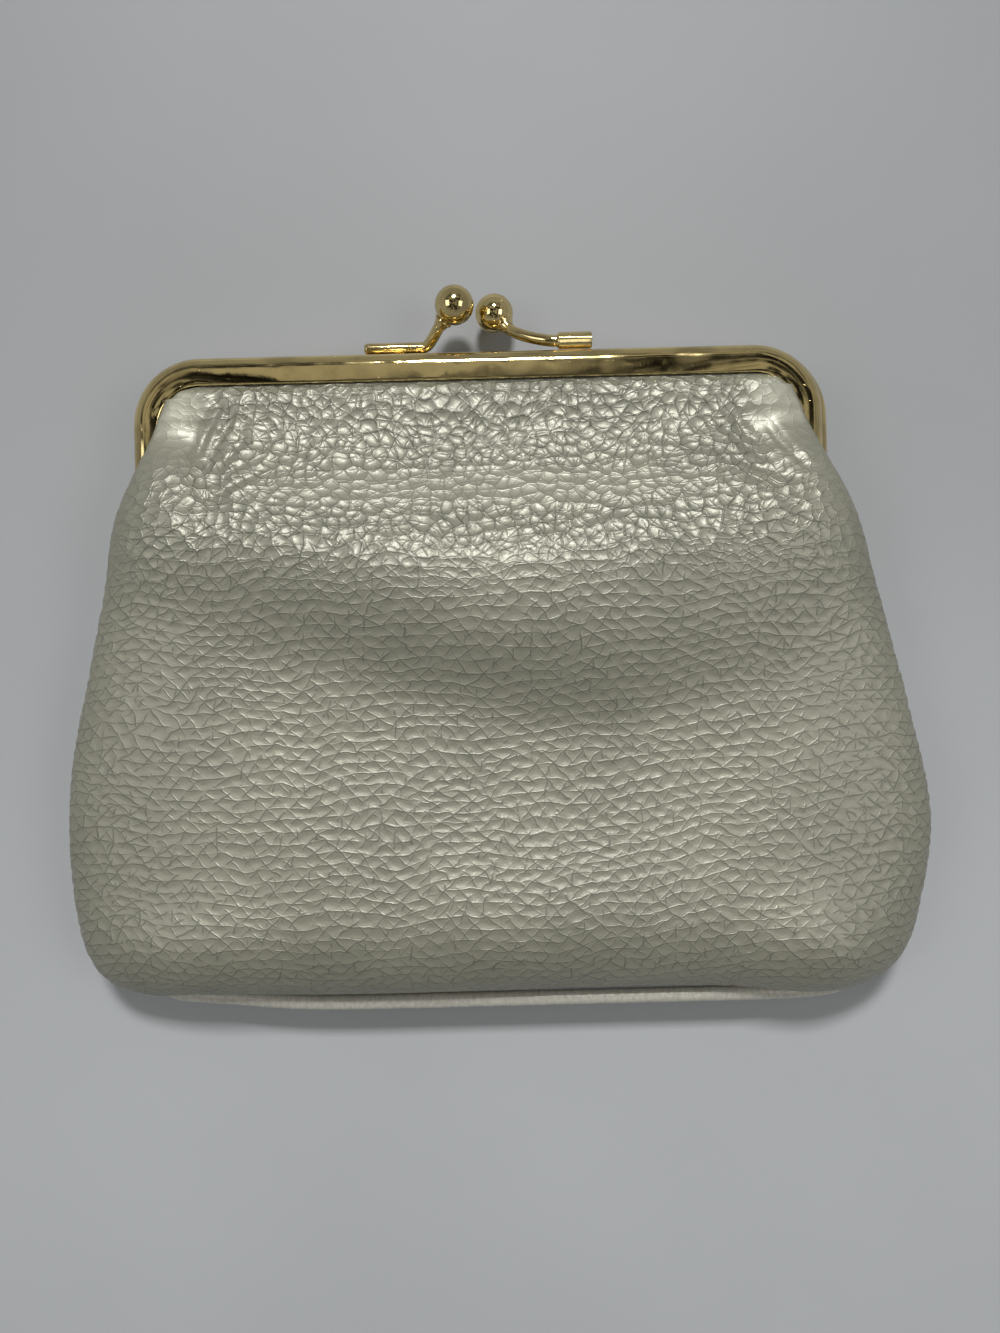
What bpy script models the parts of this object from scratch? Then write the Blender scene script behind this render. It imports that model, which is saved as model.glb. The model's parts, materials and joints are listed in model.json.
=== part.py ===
"""Kiss lock coin purse: a leather bag held in a folding metal frame with a two-ball clasp.

The purse lies on its back panel. X runs across it, Y from the bottom seam to the clasp,
Z from the back panel to the front panel. The front half of the frame turns on two rivets.
"""

import math

import bmesh
import bpy
from mathutils import Vector

# Frame halves: channels of folded sheet, bent to a U
FRAME_WIDTH = 0.1366
FRAME_STEP = 0.0014
FRAME_CORNER_RADIUS = 0.0145
FACE_WIDTH = 0.0056
HALF_HEIGHT = 0.0045
SHEET = 0.0008
EDGE_ROUNDING = 0.0017
ARM_LENGTH = 0.0302
PARTING_GAP = 0.0003
CORNER_STEPS = 8
ROUNDING_STEPS = 4

# Hinges at the ends of the arms
EAR_RADIUS = 0.0026
EAR_THICKNESS = 0.0007
EAR_REACH = 0.0034
EAR_OVERLAP = 0.0012
RIVET_RADIUS = 0.0010
RIVET_CLEARANCE = 0.00006
RIVET_HEAD_RADIUS = 0.0018
RIVET_HEAD_HEIGHT = 0.0008
RIVET_HEAD_GAP = 0.0001
ROUND_SIDES = 24
SMOOTH_ANGLE = math.radians(35)
WELD = 1e-6

# Bag
BAG_WIDTH = 0.168
BAG_LENGTH = 0.1259
BAG_SEAM_HEIGHT = 0.009
FRONT_CROWN = 0.0155
BACK_CROWN = 0.0105
LEATHER = 0.0012
LINING = 0.0005
LAYER_GAP = 0.0003
SEAM_LIFT = 0.0004
LINING_EASE = 0.0014
TUCK = 0.0026
FRONT_FLATNESS = 2.6
BACK_FLATNESS = 3.2
END_FLATNESS = 2.15
END_START_SHARE = 0.86
FOLD_ABOVE_HINGE = 0.0098
FOLD_BELOW_HINGE = 0.009
OVERHANG_FULL = 0.013
OVERHANG_START = 0.015
OVERHANG_RISE = 0.017
SLIT_TOP = 0.004
SLIT_END = 0.007
COLUMNS = 18

# Piping along the bottom seam and the cords pressed into the frame's channels
PIPING_RADIUS = 0.00155
PIPING_WALL = 0.0007
PIPING_CORD_RADIUS = 0.00055
PIPING_HALF_LENGTH = 0.0675
PIPING_LIFT = 0.0005
PIPING_RISE = 0.0004
PIPING_STEPS = 16
PACKING_RADIUS = 0.0006

# Clasp
BALL_RADIUS = 0.0038
BALL_RINGS = 12
CLASP_REACH = 0.0080
CLASP_CENTRE = -0.0006
BALL_SPACING = 0.00775
BALL_OFFSET = 0.0026
STEM_RADIUS = 0.00112
STEM_STEPS = 8
FOOT_HEIGHT = 0.0024
FOOT_GAP = 0.0003
BACK_FOOT_START = 0.0216
BACK_FOOT_END = 0.0112
FRONT_FOOT_START = 0.0222
FRONT_FOOT_END = 0.0152
FRONT_BEND = 0.0122
BACK_BEND = 0.0098
BEND_REACH = 0.0024
TAB_THICKNESS = 0.0033
TAB_HEIGHT = 0.0026
TAB_BEVEL = 0.0004
COLLAR_RADIUS = 0.0019
COLLAR_NECK_RADIUS = 0.00155
COLLAR_HEIGHT = 0.0014
COLLAR_CLEARANCE = 0.0001
SOCKET_DEPTH = 0.0016
SOCKET_GAP = 0.0003
OVERRUN = 0.002

# Places that follow from the sizes above
PIPING_REACH = LAYER_GAP + 2 * PIPING_RADIUS
OVERALL_LENGTH = PIPING_REACH + BAG_LENGTH + CLASP_REACH + BALL_RADIUS
TOP_Y = OVERALL_LENGTH / 2 - CLASP_REACH - BALL_RADIUS
BOTTOM_Y = TOP_Y - BAG_LENGTH
HINGE_Y = TOP_Y - ARM_LENGTH
SEAM_Z = BAG_SEAM_HEIGHT
FOLD_TOP_Y = HINGE_Y + FOLD_ABOVE_HINGE
FOLD_BOTTOM_Y = HINGE_Y - FOLD_BELOW_HINGE
FACE_HEIGHT = PARTING_GAP / 2 + HALF_HEIGHT

# Half width of the bag: share of its length from the frame's top edge, share of the way from
# the frame's half width to the bag's
SPREAD_SHARES = (
    (0.00, -0.65),
    (0.11, -0.36),
    (0.20, -0.07),
    (0.28, 0.19),
    (0.35, 0.36),
    (0.42, 0.53),
    (0.51, 0.70),
    (0.59, 0.84),
    (0.67, 0.955),
    (0.75, 1.00),
    (0.82, 0.95),
    (0.87, 0.87),
    (0.92, 0.745),
    (0.955, 0.58),
    (0.98, 0.33),
    (1.00, -0.10),
)
# Height of each panel at mid width: share of the bag's length, share of that panel's crown
FRONT_CROWN_SHARES = (
    (0.000, 0.215),
    (0.055, 0.225),
    (0.090, 0.310),
    (0.130, 0.420),
    (0.178, 0.560),
    (0.210, 0.690),
    (0.242, 0.820),
    (0.290, 0.920),
    (0.338, 0.975),
    (0.395, 1.000),
    (0.530, 0.965),
    (0.633, 0.930),
    (0.770, 0.940),
    (1.000, 0.920),
)
BACK_CROWN_SHARES = (
    (0.000, 0.320),
    (0.055, 0.330),
    (0.105, 0.440),
    (0.150, 0.560),
    (0.200, 0.690),
    (0.250, 0.800),
    (0.320, 0.920),
    (0.420, 1.000),
    (1.000, 1.000),
)
# Rows of each bag piece: shares of its own length, from its upper edge
BAND_ROW_SHARES = (0.0, 0.18, 0.29, 0.40, 0.52, 0.645, 0.75, 0.87, 1.0)
FOLD_ROW_SHARES = (0.0, 0.2, 0.4, 0.55, 0.7, 0.85, 1.0)
LOWER_ROW_SHARES = (0.0, 0.12, 0.25, 0.38, 0.5, 0.62, 0.74, 0.84, 0.9, 0.945, 0.972, 0.99, 1.0)
BACK_ROW_SHARES = (
    0.0, 0.05, 0.085, 0.102, 0.12, 0.138, 0.16, 0.2, 0.24, 0.268, 0.30, 0.34, 0.42, 0.52,
    0.62, 0.72, 0.81, 0.88, 0.925, 0.955, 0.978, 0.992, 1.0,
)

GOLD = (0.83, 0.66, 0.33, 1.0)
TAUPE = (0.36, 0.34, 0.28, 1.0)
LINING_COLOUR = (0.30, 0.27, 0.22, 1.0)
CORD_COLOUR = (0.62, 0.55, 0.42, 1.0)


def clear_scene():
    for item in list(bpy.data.objects):
        bpy.data.objects.remove(item, do_unlink=True)


def make_material(name, colour, roughness, metallic):
    material = bpy.data.materials.new(name)
    material.use_nodes = True
    shader = material.node_tree.nodes["Principled BSDF"]
    shader.inputs["Base Color"].default_value = colour
    shader.inputs["Roughness"].default_value = roughness
    shader.inputs["Metallic"].default_value = metallic
    return material


def make_collection(name):
    collection = bpy.data.collections.new(name)
    bpy.context.scene.collection.children.link(collection)
    return collection


def mesh_object(name, mesh):
    item = bpy.data.objects.new(name, mesh)
    PURSE.objects.link(item)
    return item


def turn_into_cutter(item):
    PURSE.objects.unlink(item)
    CUTTERS.objects.link(item)
    item.hide_render = True
    item.display_type = "WIRE"
    return item


def boolean(item, operation, other):
    modifier = item.modifiers.new(operation.title(), "BOOLEAN")
    modifier.operation = operation
    modifier.solver = "EXACT"
    modifier.object = other


def poly_curve(name, points, closed=False, flat=False):
    curve = bpy.data.curves.new(name, "CURVE")
    curve.dimensions = "2D" if flat else "3D"
    spline = curve.splines.new("POLY")
    spline.points.add(len(points) - 1)
    for place, point in zip(spline.points, points):
        place.co = (*point, 1.0)
    spline.use_cyclic_u = closed
    item = bpy.data.objects.new(name, curve)
    PURSE.objects.link(item)
    return item


def mesh_from_curve(item, guides=()):
    """Swaps a curve for its mesh with the end caps welded on, and drops its guides."""
    bpy.context.view_layer.update()
    graph = bpy.context.evaluated_depsgraph_get()
    mesh = bpy.data.meshes.new_from_object(item.evaluated_get(graph))
    shape = bmesh.new()
    shape.from_mesh(mesh)
    bmesh.ops.remove_doubles(shape, verts=shape.verts, dist=WELD)
    bmesh.ops.recalc_face_normals(shape, faces=shape.faces)
    shape.to_mesh(mesh)
    shape.free()
    place = item.matrix_world.copy()
    for old in (item, *guides):
        bpy.data.objects.remove(old, do_unlink=True)
    solid = mesh_object(mesh.name, mesh)
    solid.matrix_world = place
    return solid


def tube(name, points, radius, resolution=2):
    item = poly_curve(name + "_path", points)
    item.data.bevel_depth = radius
    item.data.bevel_resolution = resolution
    item.data.use_fill_caps = True
    solid = mesh_from_curve(item)
    solid.name = name
    return solid


def finish(item, name, material):
    item.name = name
    item.data.name = name
    item.data.materials.clear()
    item.data.materials.append(material)
    item.data.shade_smooth()
    item.data.set_sharp_from_angle(angle=SMOOTH_ANGLE)
    return item


def cylinder(name, radius, depth, place, axis):
    """A capped cylinder about the X axis or, for axis 2, the Z axis."""
    shape = bmesh.new()
    bmesh.ops.create_cone(
        shape, cap_ends=True, segments=ROUND_SIDES, radius1=radius, radius2=radius, depth=depth
    )
    mesh = bpy.data.meshes.new(name)
    shape.to_mesh(mesh)
    shape.free()
    item = mesh_object(name, mesh)
    item.location = place
    if axis == 0:
        item.rotation_euler = (0.0, math.pi / 2, 0.0)
    return item


def arc(centre, radius, start, end, steps):
    """Points on a circle, from one angle to another in degrees."""
    points = []
    for step in range(steps + 1):
        angle = math.radians(start + (end - start) * step / steps)
        points.append((centre[0] + radius * math.cos(angle), centre[1] + radius * math.sin(angle)))
    return points


def smooth_value(shares, at):
    """A smooth curve through a table of (place, value) pairs."""
    if at <= shares[0][0]:
        return shares[0][1]
    if at >= shares[-1][0]:
        return shares[-1][1]
    index = max(i for i in range(len(shares) - 1) if shares[i][0] <= at)

    def slope(i):
        before = shares[max(i - 1, 0)]
        after = shares[min(i + 1, len(shares) - 1)]
        return (after[1] - before[1]) / (after[0] - before[0])

    (x0, y0), (x1, y1) = shares[index], shares[index + 1]
    span = x1 - x0
    t = (at - x0) / span
    rise = y0 * (1 + 2 * t) * (1 - t) ** 2 + y1 * t * t * (3 - 2 * t)
    turn = slope(index) * t * (1 - t) ** 2 - slope(index + 1) * t * t * (1 - t)
    return rise + turn * span


def ramp(value, start, end):
    """0 before start and 1 after end, in a straight line between them."""
    return min(max((value - start) / (end - start), 0.0), 1.0)


class FrameHalf:
    """One half of the frame and the bag panel that it holds. up is 1 in front and -1 behind."""

    def __init__(self, up):
        self.up = up
        step = FRAME_STEP if up > 0 else 0.0
        self.half_width = FRAME_WIDTH / 2 - step
        self.top = TOP_Y - step
        self.corner_radius = FRAME_CORNER_RADIUS - step
        self.corner_x = self.half_width - self.corner_radius
        self.corner_y = self.top - self.corner_radius

    def height(self, above_seam):
        """World height of a place that lies this far from the parting plane."""
        return SEAM_Z + self.up * (PARTING_GAP / 2 + above_seam)

    def path(self, inset=0.0):
        """The U along the outer edge, from the left arm's end to the right arm's end."""
        radius = self.corner_radius - inset
        x, y = self.corner_x, self.corner_y
        end_y = HINGE_Y + EAR_REACH
        left = [(-x - radius, end_y)] + arc((-x, y), radius, 180, 90, CORNER_STEPS)
        right = arc((x, y), radius, 90, 0, CORNER_STEPS) + [(x + radius, end_y)]
        return left + right

    def mouth_half_width(self, y, inset):
        """Half width of the space between the arms' inner edges, less inset, at one y."""
        radius = self.corner_radius - FACE_WIDTH - inset
        if y > self.corner_y + radius:
            return self.corner_x
        return self.corner_x + math.sqrt(radius**2 - max(y - self.corner_y, 0.0) ** 2)


def channel_profile():
    """Section of a frame half: x runs inwards from the outer edge, y away from the parting plane."""
    bend = EDGE_ROUNDING
    inner_bend = EDGE_ROUNDING - SHEET
    top = HALF_HEIGHT
    lip = FACE_WIDTH - SHEET
    outside = arc((bend, top - bend), bend, 90, 180, ROUNDING_STEPS)
    outside += arc((bend, bend), bend, 180, 270, ROUNDING_STEPS)
    inside = arc((bend, bend), inner_bend, 270, 180, ROUNDING_STEPS // 2)
    inside += arc((bend, top - bend), inner_bend, 180, 90, ROUNDING_STEPS // 2)
    tips = [(lip, 0.0), (lip, SHEET)]
    return [(FACE_WIDTH, top)] + outside + tips + inside + [(FACE_WIDTH, top - SHEET)]


def make_ear(half, side_x):
    """The flat ear that carries one arm on its rivet."""
    low = PARTING_GAP / 2
    outline = arc((0.0, 0.0), EAR_RADIUS, 90, 315, ROUND_SIDES // 2)
    outline.append((EAR_RADIUS + low, low))
    outline.append((EAR_REACH + EAR_OVERLAP, low))
    outline.append((EAR_REACH + EAR_OVERLAP, FACE_HEIGHT - EDGE_ROUNDING))
    points = [(y, half.up * z, 0.0) for y, z in outline]
    ear = poly_curve("ear", points, closed=True, flat=True)
    ear.data.fill_mode = "BOTH"
    ear.data.extrude = EAR_THICKNESS / 2
    solid = mesh_from_curve(ear)
    mesh_x = side_x * (half.half_width - SHEET / 2)
    # The outline's own x and y become world Y and Z
    solid.rotation_euler = (math.pi / 2, 0.0, math.pi / 2)
    solid.location = (mesh_x, HINGE_Y, SEAM_Z)
    return solid


def make_frame_half(name, half):
    profile = poly_curve(
        "channel", [(x, half.up * y, 0.0) for x, y in channel_profile()], closed=True, flat=True
    )
    path = poly_curve(name + "_path", [(x, y, 0.0) for x, y in half.path()], flat=True)
    path.data.bevel_mode = "OBJECT"
    path.data.bevel_object = profile
    path.data.use_fill_caps = True
    path.location.z = half.height(0.0)
    frame = mesh_from_curve(path, guides=(profile,))
    for side_x in (-1, 1):
        ear = turn_into_cutter(make_ear(half, side_x))
        boolean(frame, "UNION", ear)
    hole = cylinder(
        "rivet_hole", RIVET_RADIUS + RIVET_CLEARANCE, FRAME_WIDTH + OVERRUN, (0, HINGE_Y, SEAM_Z), 0
    )
    boolean(frame, "DIFFERENCE", turn_into_cutter(hole))
    return finish(frame, name, METAL)


def make_rivet(name, side_x):
    """A headed rivet through the back ear outside and the front ear inside."""
    outer = FRAME_WIDTH / 2 + RIVET_HEAD_GAP
    inner = FRAME_WIDTH / 2 - FRAME_STEP - SHEET - RIVET_HEAD_GAP
    rim = RIVET_HEAD_HEIGHT / 2
    shape = [(0.0, outer + RIVET_HEAD_HEIGHT), (RIVET_RADIUS, outer + RIVET_HEAD_HEIGHT)]
    shape += [(RIVET_HEAD_RADIUS, outer + rim), (RIVET_HEAD_RADIUS, outer)]
    shape += [(RIVET_RADIUS, outer), (RIVET_RADIUS, inner)]
    shape += [(RIVET_HEAD_RADIUS, inner), (RIVET_HEAD_RADIUS, inner - rim)]
    shape += [(RIVET_RADIUS, inner - RIVET_HEAD_HEIGHT), (0.0, inner - RIVET_HEAD_HEIGHT)]
    rivet = turned(name, shape)
    rivet.rotation_euler = (0.0, side_x * math.pi / 2, 0.0)
    rivet.location = (0.0, HINGE_Y, SEAM_Z)
    return finish(rivet, name, METAL)


def turned(name, outline):
    """A turned solid about Z from an outline of (radius, z), given from top to bottom."""
    mesh = bpy.data.meshes.new(name)
    edges = [(i, i + 1) for i in range(len(outline) - 1)]
    mesh.from_pydata([(radius, 0.0, z) for radius, z in outline], edges, [])
    item = mesh_object(name, mesh)
    screw = item.modifiers.new("Screw", "SCREW")
    screw.steps = ROUND_SIDES
    screw.render_steps = ROUND_SIDES
    screw.use_merge_vertices = True
    screw.merge_threshold = WELD
    return item


def crown_height(half, y, inset):
    """Height of the panel over the parting plane at mid width."""
    share = (TOP_Y - y) / BAG_LENGTH
    if half.up > 0:
        crown = FRONT_CROWN * smooth_value(FRONT_CROWN_SHARES, share)
    else:
        crown = BACK_CROWN * smooth_value(BACK_CROWN_SHARES, share)
    ease = LINING_EASE if inset else 0.0
    end_share = 1 - (inset + ease) / BAG_LENGTH
    into_end = min(max((share - END_START_SHARE) / (end_share - END_START_SHARE), 0.0), 1.0)
    return (crown - inset) * (1 - into_end**END_FLATNESS) ** (1 / END_FLATNESS)


def bag_row(half, y, inset, lining):
    """(half width, edge height, mid height) of a row of the bag at one y."""
    above_hinge = y - HINGE_Y
    share = (TOP_Y - y) / BAG_LENGTH
    spread = smooth_value(SPREAD_SHARES, share)
    sewn_half_width = (FRAME_WIDTH + (BAG_WIDTH - FRAME_WIDTH) * spread) / 2 - inset
    mouth = half.mouth_half_width(y, LAYER_GAP + inset)
    tucked = HALF_HEIGHT - SHEET - LAYER_GAP - inset
    over_arm = HALF_HEIGHT + LAYER_GAP + LEATHER
    closed = ramp(above_hinge, -SLIT_END, -SLIT_TOP)
    middle = crown_height(half, y, inset)
    if lining:
        sewn_half_width -= LINING_EASE
        if above_hinge > -SLIT_TOP:
            return min(mouth, sewn_half_width), tucked, max(middle, tucked)
        return sewn_half_width, SEAM_LIFT, max(middle, SEAM_LIFT)
    risen = 1 - ramp(above_hinge, OVERHANG_START, OVERHANG_RISE)
    edge = SEAM_LIFT + (tucked + (over_arm - tucked) * risen - SEAM_LIFT) * closed
    if above_hinge > OVERHANG_START - LAYER_GAP:
        half_width = mouth
    else:
        spread = 1 - ramp(above_hinge, OVERHANG_FULL, OVERHANG_START - LAYER_GAP)
        half_width = mouth + (sewn_half_width - mouth) * spread
    return half_width, edge, max(middle, edge)


def make_bag_piece(name, half, top_y, bottom_y, row_shares, material, lining=False):
    """A panel or lining between two places along the bag, moulded over the bag's section."""
    inset = LEATHER + LAYER_GAP if lining else 0.0
    flatness = FRONT_FLATNESS if half.up > 0 else BACK_FLATNESS
    rows = [
        (y, *bag_row(half, y, inset, lining))
        for y in (top_y + (bottom_y - top_y) * share for share in row_shares)
    ]
    lowest = SEAM_Z - PARTING_GAP / 2 - inset
    shape = bmesh.new()
    bmesh.ops.create_grid(shape, x_segments=COLUMNS, y_segments=len(rows) - 1, size=1.0)
    for vertex in shape.verts:
        across = math.sin(vertex.co.x * math.pi / 2)
        row = rows[round((1 - vertex.co.y) / 2 * (len(rows) - 1))]
        y, half_width, edge, middle = row
        section = (1 - min(abs(across), 1.0) ** flatness) ** (1 / flatness)
        above = edge + (middle - edge) * section
        if half.up < 0:
            above = min(above, lowest)
        vertex.co = (half_width * across, y, half.height(above))
    if half.up < 0:
        bmesh.ops.reverse_faces(shape, faces=shape.faces)
    mesh = bpy.data.meshes.new(name)
    shape.to_mesh(mesh)
    shape.free()
    item = mesh_object(name, mesh)
    thicken = item.modifiers.new("Thickness", "SOLIDIFY")
    thicken.thickness = LINING if lining else LEATHER
    thicken.offset = -1.0
    return finish(item, name, material)


def make_bag_side(half, word):
    """The leather and lining of one side. The front has a fold band at the hinge line."""
    leather_top = half.top - FACE_WIDTH + TUCK
    lining_top = leather_top - LAYER_GAP
    for lining, top, end in ((False, leather_top, BOTTOM_Y), (True, lining_top, BOTTOM_Y)):
        kind = "lining" if lining else "panel"
        material = CLOTH if lining else HIDE
        if lining:
            end += LEATHER + LAYER_GAP + LINING_EASE
        if half.up < 0:
            make_bag_piece(f"{word}_{kind}", half, top, end, BACK_ROW_SHARES, material, lining)
            continue
        pieces = (
            (f"{word}_{kind}_top", top, FOLD_TOP_Y, BAND_ROW_SHARES),
            (f"{word}_{kind}_fold", FOLD_TOP_Y - LAYER_GAP, FOLD_BOTTOM_Y, FOLD_ROW_SHARES),
            (f"{word}_{kind}", FOLD_BOTTOM_Y - LAYER_GAP, end, LOWER_ROW_SHARES),
        )
        for name, start, stop, shares in pieces:
            make_bag_piece(name, half, start, stop, shares, material, lining)


def make_packing_cord(name, half):
    """The paper cord pressed into a channel to grip the leather."""
    inset = SHEET + LAYER_GAP + PACKING_RADIUS
    height = half.height(HALF_HEIGHT / 2)
    cord = tube(name, [(x, y, height) for x, y in half.path(inset)], PACKING_RADIUS)
    return finish(cord, name, PAPER)


def make_piping():
    """The leather tube along the bottom seam, and its cord."""
    centre_y = BOTTOM_Y - LAYER_GAP - PIPING_RADIUS
    places = [2 * step / PIPING_STEPS - 1 for step in range(PIPING_STEPS + 1)]
    points = [
        (share * PIPING_HALF_LENGTH, centre_y + PIPING_RISE * share**6, SEAM_Z + PIPING_LIFT)
        for share in places
    ]
    cover = tube("bottom_piping", points, PIPING_RADIUS)
    longer = [(x * (1 + OVERRUN / PIPING_HALF_LENGTH), y, z) for x, y, z in points]
    bore = tube("piping_bore", longer, PIPING_RADIUS - PIPING_WALL)
    boolean(cover, "DIFFERENCE", turn_into_cutter(bore))
    finish(cover, "bottom_piping", HIDE)
    finish(tube("bottom_piping_cord", points, PIPING_CORD_RADIUS), "bottom_piping_cord", PAPER)


def make_ball(name, centre, stem_direction):
    """A round head with a socket for the end of its stem."""
    shape = bmesh.new()
    bmesh.ops.create_uvsphere(shape, u_segments=ROUND_SIDES, v_segments=BALL_RINGS, radius=BALL_RADIUS)
    mesh = bpy.data.meshes.new(name)
    shape.to_mesh(mesh)
    shape.free()
    ball = mesh_object(name, mesh)
    ball.location = centre
    depth = SOCKET_DEPTH + SOCKET_GAP + OVERRUN
    distance = BALL_RADIUS - SOCKET_DEPTH - SOCKET_GAP + depth / 2
    place = [c + d * distance for c, d in zip(centre, stem_direction)]
    socket = cylinder(name + "_socket", STEM_RADIUS + COLLAR_CLEARANCE, depth, place, 2)
    socket.rotation_euler = stem_direction.to_track_quat("Z", "Y").to_euler()
    boolean(ball, "DIFFERENCE", turn_into_cutter(socket))
    return finish(ball, name, METAL)


def make_collar(name, centre, stem_direction):
    """The flared ring where the stem meets its ball."""
    bore = STEM_RADIUS + COLLAR_CLEARANCE
    top = COLLAR_HEIGHT
    outline = [(bore, top), (COLLAR_NECK_RADIUS, top), (COLLAR_NECK_RADIUS, top / 3)]
    outline += [(COLLAR_RADIUS, 0.0), (bore, 0.0), (bore, top)]
    collar = turned(name, outline)
    distance = BALL_RADIUS + SOCKET_GAP
    collar.location = [c + d * distance for c, d in zip(centre, stem_direction)]
    collar.rotation_euler = stem_direction.to_track_quat("Z", "Y").to_euler()
    return finish(collar, name, METAL)


def bezier(points, steps):
    """Points on the Bezier curve that the given points steer."""
    path = []
    for step in range(steps + 1):
        t = step / steps
        work = [tuple(p) for p in points]
        while len(work) > 1:
            work = [tuple(a + (b - a) * t for a, b in zip(p, q)) for p, q in zip(work, work[1:])]
        path.append(work[0])
    return path


def make_clasp(word, half, side_x):
    """One ball of the clasp with its collar and its stem, whose foot lies on the frame's top edge."""
    foot_thick = TAB_THICKNESS / 2 if half.up > 0 else STEM_RADIUS
    foot_y = half.top + FOOT_GAP + foot_thick
    foot_z = half.height(FOOT_HEIGHT)
    start, end, bend = (
        (FRONT_FOOT_START, FRONT_FOOT_END, FRONT_BEND)
        if half.up > 0
        else (BACK_FOOT_START, BACK_FOOT_END, BACK_BEND)
    )
    centre = Vector((
        CLASP_CENTRE + side_x * BALL_SPACING / 2,
        TOP_Y + CLASP_REACH,
        SEAM_Z - half.up * BALL_OFFSET,
    ))
    elbow = Vector((side_x * bend, foot_y, foot_z))
    knee = Vector((
        centre.x + side_x * BALL_RADIUS,
        foot_y + BEND_REACH,
        (foot_z + centre.z) / 2,
    ))
    direction = (knee - centre).normalized()
    tip = centre + direction * (BALL_RADIUS - SOCKET_DEPTH)
    foot = Vector((side_x * start, foot_y, foot_z))
    heel = Vector((side_x * end, foot_y, foot_z))
    neck = centre + direction * (BALL_RADIUS + SOCKET_GAP + COLLAR_HEIGHT)
    path = [foot, heel] + bezier([heel, elbow, knee, neck], STEM_STEPS)[1:] + [tip]
    stem = tube(f"{word}_clasp_arm", [tuple(p) for p in path], STEM_RADIUS, resolution=3)
    if half.up > 0:
        shape = bmesh.new()
        bmesh.ops.create_cube(shape, size=1.0)
        for vertex in shape.verts:
            vertex.co.x *= start - end + TAB_BEVEL
            vertex.co.y *= TAB_THICKNESS
            vertex.co.z *= TAB_HEIGHT
        mesh = bpy.data.meshes.new("tab")
        shape.to_mesh(mesh)
        shape.free()
        tab = mesh_object("tab", mesh)
        tab.location = (side_x * ((start + end) / 2 + TAB_BEVEL), foot_y, foot_z)
        bevel = tab.modifiers.new("Rounding", "BEVEL")
        bevel.width = TAB_BEVEL
        bevel.segments = 2
        boolean(stem, "UNION", turn_into_cutter(tab))
    finish(stem, f"{word}_clasp_arm", METAL)
    make_collar(f"{word}_clasp_collar", centre, direction)
    make_ball(f"{word}_clasp_ball", centre, direction)


def parent_to_hinge(names):
    """Hangs the pieces that swing with the front half on an empty at the hinge axis."""
    hinge = bpy.data.objects.new("frame_hinge", None)
    PURSE.objects.link(hinge)
    hinge.location = (0.0, HINGE_Y, SEAM_Z)
    bpy.context.view_layer.update()
    for name in names:
        item = bpy.data.objects[name]
        item.parent = hinge
        item.matrix_parent_inverse = hinge.matrix_world.inverted()


def main():
    front = FrameHalf(1)
    back = FrameHalf(-1)
    make_frame_half("front_frame", front)
    make_frame_half("back_frame", back)
    make_rivet("left_hinge_rivet", -1)
    make_rivet("right_hinge_rivet", 1)
    make_packing_cord("front_packing_cord", front)
    make_packing_cord("back_packing_cord", back)
    make_bag_side(front, "front")
    make_bag_side(back, "back")
    make_piping()
    make_clasp("front", front, 1)
    make_clasp("back", back, -1)
    parent_to_hinge((
        "front_frame",
        "front_packing_cord",
        "front_panel_top",
        "front_lining_top",
        "front_clasp_arm",
        "front_clasp_collar",
        "front_clasp_ball",
    ))


clear_scene()
PURSE = make_collection("kiss_lock_coin_purse")
CUTTERS = make_collection("cutters")
METAL = make_material("pale_gold", GOLD, 0.12, 1.0)
HIDE = make_material("taupe_leather", TAUPE, 0.45, 0.0)
CLOTH = make_material("lining_cloth", LINING_COLOUR, 0.85, 0.0)
PAPER = make_material("paper_cord", CORD_COLOUR, 0.9, 0.0)
main()
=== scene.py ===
"""Looks of the kiss lock coin purse: leather, polished frame, clasp, floor, light and camera.

Lengths are metres in the frame's own axes: X across the purse, Y from the bottom seam to the
clasp, Z up from the floor. The grain's own coordinates are millimetres along the leather.
"""

import json
import math

import bpy
import numpy as np
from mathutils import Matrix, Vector


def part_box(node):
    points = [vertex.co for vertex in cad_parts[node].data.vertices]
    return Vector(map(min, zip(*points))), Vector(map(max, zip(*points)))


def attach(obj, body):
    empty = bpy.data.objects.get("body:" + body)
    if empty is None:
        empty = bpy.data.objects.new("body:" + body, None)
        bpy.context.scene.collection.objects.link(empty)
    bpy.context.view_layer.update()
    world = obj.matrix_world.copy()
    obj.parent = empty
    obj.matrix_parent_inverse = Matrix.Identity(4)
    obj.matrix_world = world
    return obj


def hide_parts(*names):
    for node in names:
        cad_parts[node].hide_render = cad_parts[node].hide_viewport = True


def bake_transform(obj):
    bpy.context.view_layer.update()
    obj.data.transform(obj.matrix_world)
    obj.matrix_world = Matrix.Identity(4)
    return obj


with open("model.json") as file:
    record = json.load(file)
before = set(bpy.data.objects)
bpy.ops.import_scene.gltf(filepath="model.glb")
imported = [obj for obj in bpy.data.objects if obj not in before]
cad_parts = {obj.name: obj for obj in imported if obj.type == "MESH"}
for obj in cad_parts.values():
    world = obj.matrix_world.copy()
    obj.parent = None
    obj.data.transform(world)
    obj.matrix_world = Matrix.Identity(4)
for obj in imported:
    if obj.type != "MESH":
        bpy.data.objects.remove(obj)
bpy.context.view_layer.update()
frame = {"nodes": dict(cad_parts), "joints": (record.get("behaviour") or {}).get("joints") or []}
HINGE = frame["joints"][0]["pos_m"]
MM = 0.001

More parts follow.
